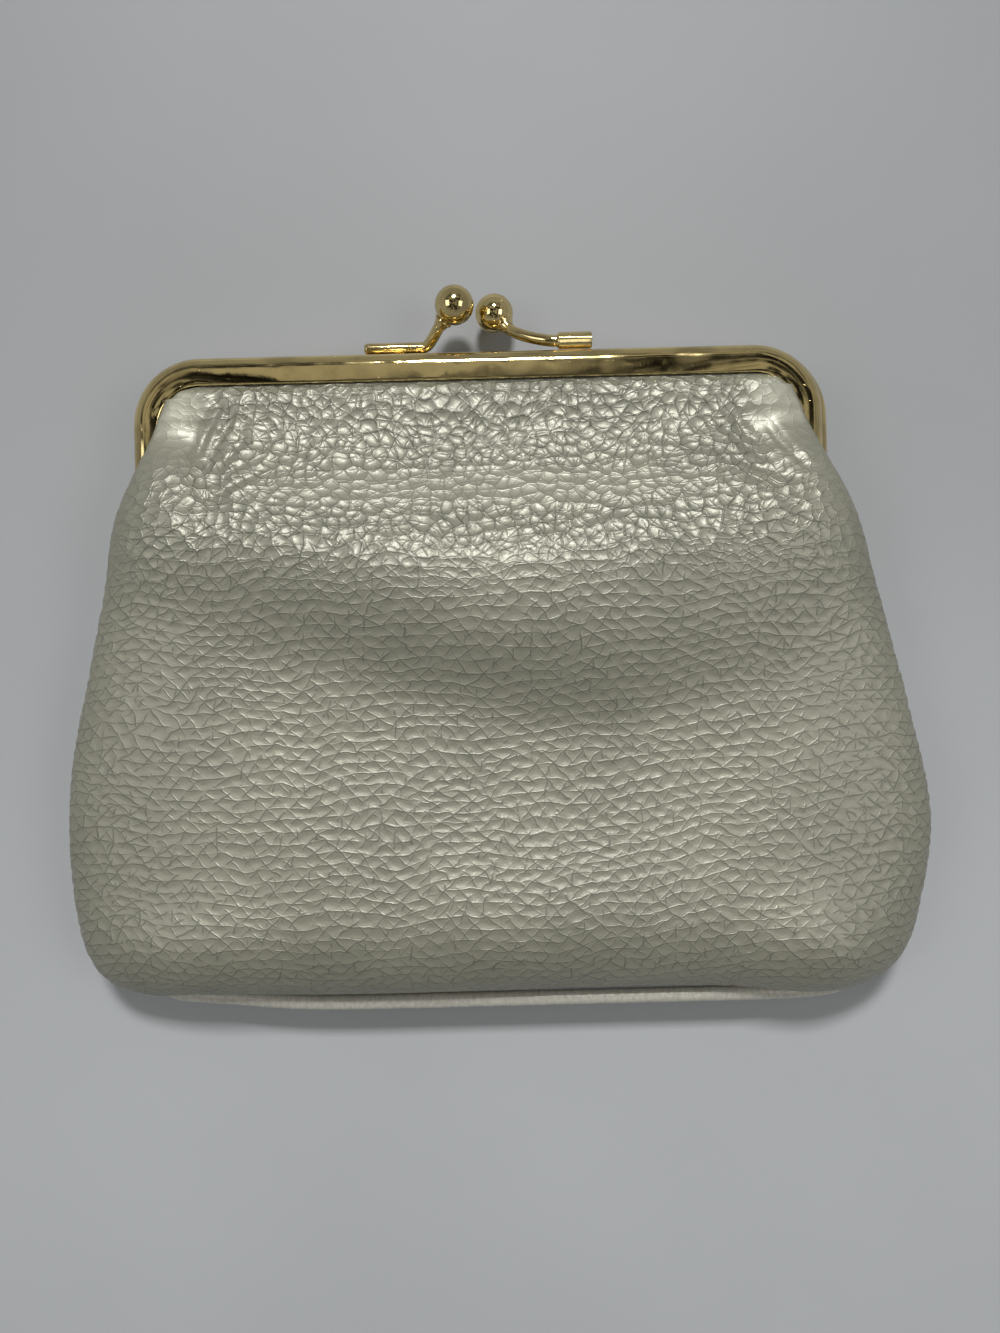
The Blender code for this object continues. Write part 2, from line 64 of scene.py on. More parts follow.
# Frame halves
SEAM_Z = HINGE[2]
HINGE_Y = HINGE[1]
TOP_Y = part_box("back_frame")[1].y
FRAME_HALF_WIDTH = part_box("back_frame")[1].x
FRAME_STEP = TOP_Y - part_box("front_frame")[1].y
FRAME_CORNER_RADIUS = 0.0145
RIM_SHOWS = 0.0006
FRONT_SHIFT = -0.0004
FACE_WIDTH = 0.0056
HALF_HEIGHT = 0.0045
SHEET = 0.0008
EDGE_ROUNDING = 0.0017
LIP_ROUNDING = 0.00025
PARTING_GAP = 0.0003
STRAIGHT_CROWN = 0.00008
CORNER_CROWN = 0.0009
FACE_ROUNDING = 0.0024
EAR_RADIUS = 0.0026
EAR_THICKNESS = 0.0007
EAR_REACH = 0.0034
EAR_HOLE = 0.00106
EAR_NECK_SHARES = (0.3, -0.4)
EAR_NECK_SPREAD = 1.6
EAR_STEPS = 48
CORNER_STEPS = 48
ARM_STEPS = 12
BAR_STEPS = 90
FACE_STEPS = 12
LIP_STEPS = 5
SHOULDER_STEPS = 18
OUTER_STEPS = 10
INNER_STEPS = 6
# How domed the face is: share of the full dome at the bar's ends, and how it is lost on the way
BAR_DOME_SHARE = 0.55
CORNER_LOSS_SHARE = 0.45
BAR_LOSS = 3.5

# Bag
BOTTOM_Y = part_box("back_panel")[0].y
BAG_LENGTH = TOP_Y - BOTTOM_Y
BAG_HALF_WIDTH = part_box("back_panel")[1].x
PARTING_HALF = PARTING_GAP / 2
FRONT_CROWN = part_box("front_panel")[1].z - SEAM_Z - PARTING_HALF
BACK_CROWN = 0.0105
BACK_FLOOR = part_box("back_panel")[0].z
LEATHER = 0.0012
LINING = 0.0005
LAYER_GAP = 0.0003
LINING_GAP = 0.0006
TUCK = 0.0026
MOUTH_GAP = 0.0001
SIDE_ROLL = 0.0011
TURNED_UNDER = 0.0022
BULGE_HEIGHT = 0.0021
BULGE_END = 0.034
DRAWN_IN_SHARE = 0.014
FRONT_FLATNESS = 2.4
SHOULDER_FLATNESS = 1.0
SHOULDER = (0.006, 0.030)
BACK_FLATNESS = 3.2
END_FLATNESS = 2.25
END_START_SHARE = 0.862
CREST_SAG = 0.011
SAG_TOP = (0.047, 0.033)
SAG_BOTTOM = (-0.040, -0.010)
OVER_ARM_FULL = 0.0145
OVER_ARM_START = 0.0205
DRAWN_UP = 0.0018
DRAWN_UP_X = -0.058
DRAWN_UP_HALF = 0.016
DRAWN_UP_REACH = 0.030
SLIT_TOP = 0.003
SLIT_END = 0.009
INNER_ROLL_SHARE = 0.3
ROWS = 320
COLUMNS = 304
PROFILE_STEPS = 4000
PROFILE_CLOSENESS = 1.2
SIDE_STEPS = 500
ROLL_STEPS = 40
LINING_EVERY = 4

# Half width of the bag: share of its length, share of the way out from the frame's half width
SPREAD_SHARES = (
    (0.00, -0.65), (0.11, -0.36), (0.20, -0.07), (0.28, 0.19), (0.35, 0.36),
    (0.42, 0.53), (0.51, 0.70), (0.59, 0.84), (0.67, 0.955), (0.75, 1.00),
    (0.82, 0.95), (0.87, 0.87), (0.92, 0.745), (0.955, 0.58), (0.98, 0.33),
    (1.00, -0.10),
)
# Height of each panel at mid width: share of the bag's length, share of that panel's crown
FRONT_CROWN_SHARES = (
    (0.000, 0.215), (0.052, 0.225), (0.058, 0.260), (0.068, 0.340), (0.085, 0.368),
    (0.125, 0.368), (0.145, 0.382), (0.165, 0.413), (0.190, 0.472), (0.210, 0.535),
    (0.225, 0.591), (0.240, 0.652), (0.270, 0.778), (0.285, 0.838), (0.300, 0.898),
    (0.317, 0.951), (0.335, 0.984), (0.350, 0.993), (0.365, 0.992), (0.390, 0.980),
    (0.430, 0.952), (0.500, 0.900), (0.560, 0.868), (0.620, 0.858), (0.700, 0.868),
    (0.780, 0.885), (0.860, 0.905), (0.930, 0.918), (1.000, 0.920),
)
BACK_CROWN_SHARES = (
    (0.000, 0.320), (0.055, 0.330), (0.105, 0.440), (0.150, 0.560), (0.200, 0.690),
    (0.250, 0.800), (0.320, 0.920), (0.420, 1.000), (1.000, 1.000),
)
# How far the bag leans to the right of its frame: share of its length, share of the most
LEAN = 0.0020
LEAN_SHARES = (
    (0.00, 0.0), (0.14, 0.0), (0.25, 0.15), (0.42, 0.55), (0.52, 0.65),
    (0.60, 0.65), (0.75, 1.0), (0.88, 0.70), (1.00, 0.50),
)

# Soft lumps of the front panel: x, y, half width, half length, height
FRONT_LUMPS = (
    (0.0620, -0.0595, 0.0130, 0.0090, 0.0036),
    (0.0120, -0.0500, 0.0300, 0.0120, 0.0006),
    (-0.0600, -0.0580, 0.0150, 0.0090, 0.0024),
    (-0.0610, 0.0200, 0.0100, 0.0120, 0.0013),
    (0.0600, 0.0190, 0.0120, 0.0120, 0.0012),
)
# The slack fold across the middle of the front panel: x, y of its lowest line, share of its depth
SLACK_DEPTH = 0.0042
SLACK_ABOVE = 0.0165
SLACK_BELOW = 0.0440
SLACK_LINE = (
    (-0.075, 0.008), (-0.042, -0.003), (-0.015, -0.011), (0.011, -0.018), (0.031, -0.016),
    (0.050, -0.011), (0.075, -0.002),
)
SLACK_SHARES = (
    (-0.080, 0.05), (-0.060, 0.20), (-0.036, 0.70), (-0.010, 0.90), (0.011, 1.00),
    (0.035, 0.90), (0.060, 0.40), (0.080, 0.05),
)
# Height of the rims beside a fold, how its ends run out, and where
FOLD_RIM_SHARE = 0.55
FOLD_EASE = 0.6
FOLD_END_SHARES = (0.04, 0.96)
# Small folds of the front panel: half width, depth, points
FRONT_FOLDS = (
    (0.0046, 0.0011, (-0.0540, 0.0455), (-0.0522, 0.0350), (-0.0495, 0.0235)),
    (0.0046, 0.0011, (0.0500, 0.0450), (0.0530, 0.0360), (0.0575, 0.0275)),
    (0.0013, 0.0007, (-0.0511, 0.0496), (-0.0504, 0.0469), (-0.0532, 0.0420), (-0.0549, 0.0360)),
    (0.0012, 0.0006, (-0.0474, 0.0468), (-0.0486, 0.0434), (-0.0510, 0.0397), (-0.0527, 0.0333)),
    (0.0012, 0.0005, (-0.0393, 0.0348), (-0.0439, 0.0331), (-0.0485, 0.0305), (-0.0547, 0.0274)),
    (0.0011, 0.00035, (-0.0438, 0.0361), (-0.0466, 0.0343), (-0.0496, 0.0323), (-0.0527, 0.0316)),
    (0.0011, 0.00035, (-0.0452, 0.0441), (-0.0460, 0.0403), (-0.0480, 0.0370), (-0.0496, 0.0340)),
    (0.0013, 0.00055, (0.0496, 0.0463), (0.0497, 0.0418), (0.0517, 0.0394), (0.0547, 0.0371)),
    (0.0012, 0.00055, (0.0552, 0.0420), (0.0566, 0.0385), (0.0588, 0.0347), (0.0614, 0.0314)),
    (0.0012, 0.0005, (0.0452, 0.0365), (0.0493, 0.0338), (0.0538, 0.0318), (0.0579, 0.0301)),
    (0.0011, 0.00035, (0.0464, 0.0418), (0.0494, 0.0387), (0.0516, 0.0368), (0.0550, 0.0336)),
    (0.0011, 0.00035, (0.0429, 0.0381), (0.0459, 0.0342), (0.0500, 0.0307), (0.0549, 0.0283)),
)
# Places where the leather is stretched smooth: x, y, half width, half length, grain that is left
SMOOTH_PLACES = (
    (-0.0570, 0.0440, 0.0072, 0.0110, 0.22),
    (0.0570, 0.0440, 0.0072, 0.0110, 0.22),
    (0.0020, 0.0300, 0.0460, 0.0042, 0.45),
)

# Grain of the leather, in millimetres along it. A drift is the scale and the reach of a wobble
GRAIN_DRIFTS = ((0.06, 4.0), (0.55, 0.8))
GRAIN_OWN = 0.9
GRAIN_OWN_SCALE = 0.13
GRAIN_FADE_SCALE = 0.42
GRAIN_FADE_WIDTH = 0.16
GRAIN_SLANT = 0.7
GRAIN_DOWN = 0.35
BACK_GRAIN_SHIFT = 300.0
# Families of creases: turn, distance between them, shift, where they fade and least strength
GRAIN_FAMILIES = (
    (math.radians(3), 2.2, 0.0, 0.36, 0.35),
    (math.radians(43), 2.4, 31.0, 0.40, 0.15),
    (math.radians(-41), 2.4, 67.0, 0.40, 0.15),
    (math.radians(82), 3.0, 11.0, 0.50, 0.0),
)
NET_HEIGHT = 0.00017
NET_WIDTH = 0.70
PEBBLE_HEIGHT = 0.00025
PEBBLE_STRETCH = (0.34, 0.42, 0.0)
PEBBLE_RANDOMNESS = 0.85
PEBBLE_REACH = 0.66
PEBBLE_ROUNDNESS = 0.85
PEBBLE_BORDER = (0.16, 0.5)
PEBBLE_CREASE = (0.30, 0.7)
SIDE_RELIEF_SHARE = 0.40
AT_SIDE_SHARES = (0.80, 0.99)
GATHER_SHARE = 0.08
GATHER_PLACES = (0.006, 0.024)
# Fine relief of the shading, in millimetres, and the half widths of its creases
CREASE_BUMP = 0.052
CREASE_BUMP_WIDTH = 0.24
BORDER_BUMP = 0.070
BORDER_BUMP_WIDTH = 0.10
DOME_BUMP = 0.105
WRINKLE_BUMP = 0.040
PORE_BUMP = 0.010
# Painted shade in the leather's colour: the share of colour left in the creases, how much darker
# the pebbles' borders are, and the half widths of both
CREASE_PAINTED_SHADE = 0.50
CREASE_PAINTED_SHADE_WIDTH = 0.12
BORDER_PAINTED_SHADE = 0.30
BORDER_PAINTED_SHADE_WIDTH = 0.07

# Piping along the bottom seam and the cords
PIPING_RADIUS = 0.00145
PIPING_HALF_LENGTH = 0.0697
PIPING_SHIFT = 0.0016
PIPING_GAP = 0.0006
PIPING_LIFT = 0.0009
PIPING_RISE = 0.0022
PIPING_END_POWER = 12
PIPING_TAPER_SHARES = (-0.02, 0.09)
PIPING_WAVES = ((0.012, 90), (0.01, 217))
PIPING_WRINKLE = 0.00006
PIPING_STEPS = 400
PIPING_SIDES = 36
CORE_START = 4
CORE_SIDES = 18
CORD_RADIUS = 0.00055
CORD_LAY = 0.004
CORD_STRANDS = 3
CORD_LOBE_SHARE = 0.10
PACKING_RADIUS = 0.0006
PACKING_STEPS = 600
PACKING_SIDES = 15
LINING_PITCH = 0.0006
PAPER_PITCH = 0.0004

# Clasp
BALL_RADIUS = 0.0038
STEM_RADIUS = 0.00112
FOOT_HEIGHT = 0.0024
FOOT_GAP = 0.0003
BACK_FOOT = (0.0228, 0.0112, 0.0098)
FRONT_FOOT = (0.0222, 0.0152, 0.0122)
BEND_REACH = 0.0024
TAB_WIDTH = 0.0033
TAB_HEIGHT = 0.0026
TAB_GROOVE_PITCH = 0.00052
TAB_GROOVE_DEPTH = 0.00006
# Rounded heel of a foot: share of its length, least size
TAB_HEEL_SHARES = (0.03, 0.75)
STEM_HEEL_SHARES = (0.04, 0.7)
TAB_NECK_SHARE = 0.90
COLLAR_HEIGHT = 0.0014
COLLAR_RADIUS = 0.0019
# Where the collar starts, in radii of the ball, and shares of the collar's own radius
COLLAR_START_SHARE = 0.90
COLLAR_TAPER_SHARE = 0.26
COLLAR_WAIST_SHARE = 0.86
COLLAR_BEAD_SHARE = 0.16
COLLAR_BEAD_TURNS = 2.2
SOCKET_DEPTH = 0.0016
SOCKET_GAP = 0.0003
# Steps along the parts of the clasp and round them
FOOT_STEPS = 64
BEND_STEPS = 40
COLLAR_STEPS = 14
CLASP_SIDES = 40
BALL_SIDES = 96
BALL_RINGS = 49

# Camera: a phone's main lens, held nearly straight above
CAMERA_HEIGHT = 0.2068
CAMERA_X = 0.0027
CAMERA_Y = -0.00395
CAMERA_ROLL = math.radians(-1.43)
LENS = 27.03
SENSOR = 36.0
CLIP_START = 0.01

# Noises of the surfaces: scale per millimetre, detail, roughness
WRINKLE_NOISE = (2.6, 3.0, 0.6)
PORE_NOISE = (7.0, 2.0)
LEATHER_DRIFT = (0.035, 2.0)
TIGHT_NOISE = (1.0, 3.0, 0.6)
TIGHT_STRETCH = (1.4, 0.8, 0.8)
SPECK_NOISE = (3.5, 2.0)
TARNISH_NOISE = (0.12, 3.0)
DENT_NOISE = (0.9, 2.0)
WAVE_NOISE = (0.16, 1.0)
GOLD_SPECK_NOISE = (1.9, 2.0)
GOLD_SPECK_EDGES = (0.735, 0.77)
# The same for cloth, along its threads' own waves, for the floor, per metre, and for overhead
CLOTH_DRIFT = (0.05, 2.0)
FLOOR_NOISE = (9.0, 4.0)
PATCH_NOISE = (5.5, 2.0)
PATCH_EDGES = (0.46, 0.60)
# Where most of a noise's values lie, narrowly and widely
MIDDLE = (0.35, 0.65)
MOST = (0.3, 0.7)

# Colours and surfaces
LEATHER_COLOUR = (0.291, 0.286, 0.220)
# The piping's colour is the bag's leather made paler by painted light
PIPING_PAINTED_LIGHT_COLOUR = (0.57, 0.55, 0.475)
GOLD_COLOUR = (0.85, 0.68, 0.32)
LINING_COLOUR = (0.20, 0.18, 0.15)
CORD_COLOUR = (0.62, 0.55, 0.42)
FLOOR_COLOUR = (0.46, 0.475, 0.485)
# Roughness of the leather on the belly and where it is gathered
LEATHER_ROUGHNESS = (0.42, 0.38)
LEATHER_GLOSS = {
    "Specular IOR Level": 0.7,
    "Metallic": 0.37,
    "Coat Weight": 0.3,
    "Coat Roughness": 0.32,
}
PIPING_GLOSS = {"Metallic": 0.2, "Coat Weight": 0.2, "Coat Roughness": 0.3}
GOLD_GLOSS = {"Metallic": 1.0}
PIPING_ROUGHNESS = (0.36, 0.48)
GOLD_ROUGHNESS = (0.06, 0.14)
CLOTH_ROUGHNESS = (0.75, 0.9)
FLOOR_ROUGHNESS = 0.6
# Soft waves, small dents and specks of the gold, in millimetres
GOLD_WAVES = 0.16
GOLD_DENTS = 0.006
GOLD_SPECKS = 0.030
GOLD_TARNISH = 0.66

# Floor, surround and lamps
FLOOR_SIZE = 6.0
FLOOR_DROP = 0.0001
# Painted shade on the floor: the colour's share behind the clasp, and the span in y over which it
# darkens
FLOOR_PAINTED_SHADE = 0.64
FLOOR_PAINTED_SHADE_SPAN = (-0.12, 0.10)
BACKDROP_COLOUR = (0.27, 0.275, 0.28)
BACKDROP_DISTANCES = (0.30, 1.00)
OVERHEAD_DARK = (0.0044, 0.0044, 0.0044)
OVERHEAD_LIGHT = (0.35, 0.34, 0.31)
OVERHEAD_HEIGHTS = (0.38, 0.88)
# Lamps: name, place, size, power
LAMPS = (
    ("key", (0.00, 0.52, 0.77), (0.16, 0.12), 6.1),
    ("left fill", (-0.52, 0.02, 0.66), (0.40, 0.30), 0.75),
    ("right fill", (0.52, -0.04, 0.66), (0.40, 0.30), 0.95),
)


class Graph:
    """Short calls that add nodes to a tree and link them."""

    def __init__(self, tree):
        self.tree = tree

    def feed(self, socket, value):
        if isinstance(value, bpy.types.NodeSocket):
            self.tree.links.new(value, socket)
        else:
            socket.default_value = value

    def node(self, kind, inputs=None, **settings):
        node = self.tree.nodes.new(kind)
        for key, value in settings.items():
            setattr(node, key, value)
        for key, value in (inputs or {}).items():
            self.feed(node.inputs[key], value)
        return node

    def math(self, operation, a, b=0.0):
        return self.node("ShaderNodeMath", {0: a, 1: b}, operation=operation).outputs[0]

    def times(self, a, b):
        return self.math("MULTIPLY", a, b)

    def vector(self, operation, a, b=(0.0, 0.0, 0.0)):
        return self.node("ShaderNodeVectorMath", {0: a, 1: b}, operation=operation).outputs[0]

    def scaled(self, vector, factor):
        node = self.node("ShaderNodeVectorMath", {0: vector, "Scale": factor}, operation="SCALE")
        return node.outputs[0]

    def ramp(self, value, low, high, start=0.0, end=1.0, kind="SMOOTHSTEP"):
        sides = {"Value": value, "From Min": low, "From Max": high, "To Min": start, "To Max": end}
        return self.node("ShaderNodeMapRange", sides, interpolation_type=kind).outputs[0]

    def noise(self, vector, scale, detail=2.0, roughness=0.5, out=0):
        sides = {"Vector": vector, "Scale": scale, "Detail": detail, "Roughness": roughness}
        return self.node("ShaderNodeTexNoise", sides).outputs[out]

    def plus(self, total, part, factor):
        """total + part * factor."""
        return self.math("ADD", total, self.times(part, factor))

    def rest(self, share):
        """What a share leaves of 1."""
        return self.math("SUBTRACT", 1.0, share)

    def mixed(self, factor, first, second, **settings):
        """Colour between two, by factor."""
        sides = {0: factor, 6: first, 7: second}
        return self.node("ShaderNodeMix", sides, data_type="RGBA", **settings).outputs[2]

    def mottled(self, value, sides, colour, low, high):
        """Shades of a colour, by the factor low under the value's sides and high over them."""
        return self.mixed(self.ramp(value, *sides), shade(colour, low), shade(colour, high))

    def bump(self, height, strength=1.0, distance=MM):
        """Shading normal of a relief whose height is in units of distance."""
        sides = {"Height": height, "Strength": strength, "Distance": distance}
        return self.node("ShaderNodeBump", sides).outputs[0]


def shade(colour, factor):
    return (*(min(channel * factor, 1.0) for channel in colour), 1.0)


def pebble_fields(graph, place):
    """The pattern of the pebbled grain, the same for the mesh and for the shading.

    Gives how round each pebble is, from 0 at its border to 1 on top, how far its border is, and
    families of long wavy creases that cross the pebbles. Each family gives how near its line
    is, from 0 on it to 1 half way to the next, and its strength, which fades in places.
    """
    bent = place
    for scale, reach in GRAIN_DRIFTS:
        drift = graph.noise(place, scale, 0.0, out="Color")
        drift = graph.vector("SUBTRACT", drift, (0.5, 0.5, 0.5))
        bent = graph.vector("ADD", bent, graph.scaled(drift, reach))
    stretched = graph.vector("MULTIPLY", bent, PEBBLE_STRETCH)
    cells = {"Vector": stretched, "Scale": 1.0, "Randomness": PEBBLE_RANDOMNESS}
    middle, border = [
        graph.node("ShaderNodeTexVoronoi", cells, voronoi_dimensions="2D", feature=feature)
        for feature in ("F1", "DISTANCE_TO_EDGE")
    ]
    away = graph.math("DIVIDE", middle.outputs["Distance"], PEBBLE_REACH)
    dome = graph.math("MAXIMUM", graph.rest(graph.times(away, away)), 0.0)
    families = []
    for turn, pitch, seed, low, faint in GRAIN_FAMILIES:
        moved = graph.vector("ADD", bent, (seed, seed * GRAIN_SLANT, 0.0))
        facing = (math.sin(turn) / pitch, math.cos(turn) / pitch, 0.0)
        apart = graph.node("ShaderNodeSeparateXYZ", {0: graph.vector("MULTIPLY", moved, facing)})
        across = graph.math("ADD", apart.outputs[0], apart.outputs[1])
        own = graph.noise(moved, GRAIN_OWN_SCALE, 0.0)
        across = graph.plus(across, own, GRAIN_OWN)
        off = graph.math("SUBTRACT", graph.math("FRACT", across), 0.5)
        near = graph.times(graph.math("ABSOLUTE", off), 2.0)
        strength = graph.noise(moved, GRAIN_FADE_SCALE, 1.0)
        strength = graph.ramp(strength, low, low + GRAIN_FADE_WIDTH, faint, 1.0)
        families.append((near, strength))
    return dome, border.outputs["Distance"], families


def crossed(graph, families, width):
    """Height from 0 in the long creases to 1 between them, with creases of that half width."""
    height = None
    for near, strength in families:
        rise = graph.ramp(near, 0.0, width)
        part = graph.rest(graph.times(graph.rest(rise), strength))
        height = part if height is None else graph.times(height, part)
    return height


def table_value(shares, at):
    """A smooth curve through a table of (place, value) pairs, at each of many places."""
    places, values = np.array(shares).T
    slopes = np.empty(len(places))
    slopes[1:-1] = (values[2:] - values[:-2]) / (places[2:] - places[:-2])
    slopes[0] = (values[1] - values[0]) / (places[1] - places[0])
    slopes[-1] = (values[-1] - values[-2]) / (places[-1] - places[-2])
    at = np.clip(at, places[0], places[-1])
    index = np.clip(np.searchsorted(places, at, side="right") - 1, 0, len(places) - 2)
    span = places[index + 1] - places[index]
    t = (at - places[index]) / span
    start = values[index] * (1 + 2 * t) * (1 - t) ** 2 + slopes[index] * span * t * (1 - t) ** 2
    end = values[index + 1] * t * t * (3 - 2 * t) - slopes[index + 1] * span * t * t * (1 - t)
    return start + end


def ramp(value, start, end):
    """0 before start and 1 after end, in a straight line between them."""
    return np.clip((value - start) / (end - start), 0.0, 1.0)


def smooth_ramp(value, start, end):
    """0 before start and 1 after end, easing in and out."""
    t = ramp(value, start, end)
    return t * t * (3 - 2 * t)


def lean(y):
    """How far the bag has slipped to the right of its frame at y."""
    return LEAN * table_value(LEAN_SHARES, (TOP_Y - y) / BAG_LENGTH)


def drawn_up(x, y):
    """How far the bag's bottom edge is drawn up at its left end."""
    near = smooth_ramp(BOTTOM_Y + DRAWN_UP_REACH - y, 0.0, DRAWN_UP_REACH)
    return DRAWN_UP * near * np.exp(-(((x - DRAWN_UP_X) / DRAWN_UP_HALF) ** 2))


class FrameHalf:
    """One half of the frame. up is 1 in front and -1 behind.

    The two halves lie a little apart: the front one to the left, and the back one's rim shows.
    """

    def __init__(self, up):
        self.up = up
        step = FRAME_STEP if up > 0 else 0.0
        self.half_width = FRAME_HALF_WIDTH - step if up > 0 else FRAME_HALF_WIDTH + RIM_SHOWS
        self.shift = FRONT_SHIFT if up > 0 else 0.0
        self.top = TOP_Y - step
        self.corner_radius = FRAME_CORNER_RADIUS - step
        self.corner_x = self.half_width - self.corner_radius
        self.corner_y = self.top - self.corner_radius

    def height(self, above):
        """World height of a place that lies this far from the parting plane."""
        return SEAM_Z + self.up * (PARTING_HALF + above)

    def stations(self):
        """Places along the outer edge from the left arm's end to the right arm's end.

        Each is x, y, the direction inwards, and how domed the face is there.
        """
        end_y = HINGE_Y + EAR_REACH
        x, y, radius = self.corner_x, self.corner_y, self.corner_radius
        places = []
        for t in np.linspace(0, 1, ARM_STEPS, endpoint=False):
            places.append((-x - radius, end_y + (y - end_y) * t, 1.0, 0.0, 1.0))
        for t in np.linspace(0, 1, CORNER_STEPS, endpoint=False):
            c, s = math.cos(math.pi * (1 - t / 2)), math.sin(math.pi * (1 - t / 2))
            places.append((-x + radius * c, y + radius * s, -c, -s, 1.0 - CORNER_LOSS_SHARE * t))
        for t in np.linspace(0, 1, BAR_STEPS, endpoint=False):
            edge = min(t, 1 - t) * 2
            bend = BAR_DOME_SHARE * (1 - min(edge * BAR_LOSS, 1))
            places.append((-x + 2 * x * t, y + radius, 0.0, -1.0, bend))
        left = places[: ARM_STEPS + CORNER_STEPS]
        right = [(-px, py, -nx, ny, bend) for px, py, nx, ny, bend in left[::-1]]
        return places + [(x, y + radius, 0.0, -1.0, BAR_DOME_SHARE)] + right

    def mouth_half_width(self, y, inset):
        """Half width of the space between the arms' inner edges, less inset, at each y."""
        radius = self.corner_radius - FACE_WIDTH - inset
        above = np.clip(y - self.corner_y, 0.0, radius)
        return self.corner_x + np.sqrt(radius**2 - above**2)


FRONT = FrameHalf(1)
BACK = FrameHalf(-1)


def piece_from_grid(name, grid, material, wrap=False, caps=False, flip=False):
    """A mesh over a grid of points. wrap joins each row's ends, and caps closes both end rows."""
    rows, columns = grid.shape[:2]
    index = np.arange(rows * columns).reshape(rows, columns)
    across = np.roll(index, -1, axis=1) if wrap else index[:, 1:]
    base = index if wrap else index[:, :-1]
    quads = np.stack([base[:-1], across[:-1], across[1:], base[1:]], axis=-1).reshape(-1, 4)
    if flip:
        quads = quads[:, ::-1]
    faces = quads.tolist()
    if caps:
        first, last = index[0].tolist(), index[-1].tolist()
        faces += [first if flip else first[::-1], last[::-1] if flip else last]
    mesh = bpy.data.meshes.new(name)
    mesh.from_pydata(grid.reshape(-1, 3).tolist(), [], faces)
    mesh.materials.append(material)
    mesh.shade_smooth()
    item = bpy.data.objects.new(name, mesh)
    bpy.context.scene.collection.objects.link(item)
    return item


def grid_normals(grid):
    """Unit normals of a grid of points, pointing to the side that +Z faces over flat ground."""
    along = np.gradient(grid, axis=0)
    across = np.gradient(grid, axis=1)
    normals = np.cross(along, across)
    normals /= np.maximum(np.linalg.norm(normals, axis=2, keepdims=True), 1e-12)
    return normals


def resample(line, count):
    """The same line of points with even steps along it."""
    steps = np.linalg.norm(np.diff(line, axis=0), axis=1)
    length = np.concatenate([[0.0], np.cumsum(steps)])
    wanted = np.linspace(0.0, length[-1], count)
    return np.stack([np.interp(wanted, length, line[:, k]) for k in range(line.shape[1])], axis=1)


def sewn_half_width(y):
    """Half width of the bag along its side seams at y."""
    spread = table_value(SPREAD_SHARES, (TOP_Y - y) / BAG_LENGTH)
    return FRAME_HALF_WIDTH + (BAG_HALF_WIDTH - FRAME_HALF_WIDTH) * spread


def middle_height(half, y, inset):
    """Height of the bag's middle line above the parting plane at y."""
    front = half.up > 0
    crown = FRONT_CROWN if front else BACK_CROWN
    share = (TOP_Y - y) / BAG_LENGTH
    end_share = (TOP_Y - BOTTOM_Y - inset) / BAG_LENGTH
    into_end = ramp(share, END_START_SHARE, end_share)
    rounding = (1 - into_end**END_FLATNESS) ** (1 / END_FLATNESS)
    shares = FRONT_CROWN_SHARES if front else BACK_CROWN_SHARES
    return (crown * table_value(shares, share) - inset) * rounding


def bag_rows(half, inset):
    """Places of many rows, evenly spaced along the leather.

    Each is y, the half width, the inner half width where the leather turns under, and four
    heights: of the hidden edge, of the turned side, of the widest line and of the middle.
    """
    top = half.top - FACE_WIDTH + TUCK - inset
    end = BOTTOM_Y + inset
    # Closer steps where the profile rounds down to the bottom seam
    t = np.linspace(0.0, 1.0, PROFILE_STEPS)
    y = top + (end - top) * np.sin(t * math.pi / 2) ** PROFILE_CLOSENESS
    line = resample(np.stack([y, middle_height(half, y, inset)], axis=1), ROWS)
    y, middle = line.T
    above_hinge = y - HINGE_Y
    closed = smooth_ramp(above_hinge, -SLIT_END, -SLIT_TOP)
    flattened = smooth_ramp(above_hinge, -BULGE_END, -SLIT_TOP)
    over_arm = 1 - smooth_ramp(above_hinge, OVER_ARM_FULL, OVER_ARM_START)
    in_channel = HALF_HEIGHT - SHEET - LAYER_GAP - LEATHER - inset
    in_mouth = HALF_HEIGHT - inset
    on_arm = HALF_HEIGHT + LAYER_GAP - inset / 2
    turned = (in_mouth + (on_arm - in_mouth) * over_arm) * closed
    hidden = in_channel * closed
    widest = BULGE_HEIGHT + (on_arm + SIDE_ROLL - BULGE_HEIGHT) * flattened
    widest -= (SIDE_ROLL - MOUTH_GAP) * (1 - over_arm)
    ending = np.clip(middle / (widest + MOUTH_GAP), 0.0, 1.0)
    mouth = half.mouth_half_width(y, MOUTH_GAP + inset)
    sewn = (sewn_half_width(y) - inset) * (1 - DRAWN_IN_SHARE * flattened)
    half_width = np.where(above_hinge > OVER_ARM_START, mouth, np.maximum(sewn, mouth))
    inner = np.where(closed > 0.5, mouth, half_width) - SIDE_ROLL * INNER_ROLL_SHARE
    under = half_width - SIDE_ROLL - TURNED_UNDER
    inner = under + (np.minimum(inner, mouth) - under) * closed
    return y, half_width, inner, hidden * ending, turned * ending, widest * ending, middle


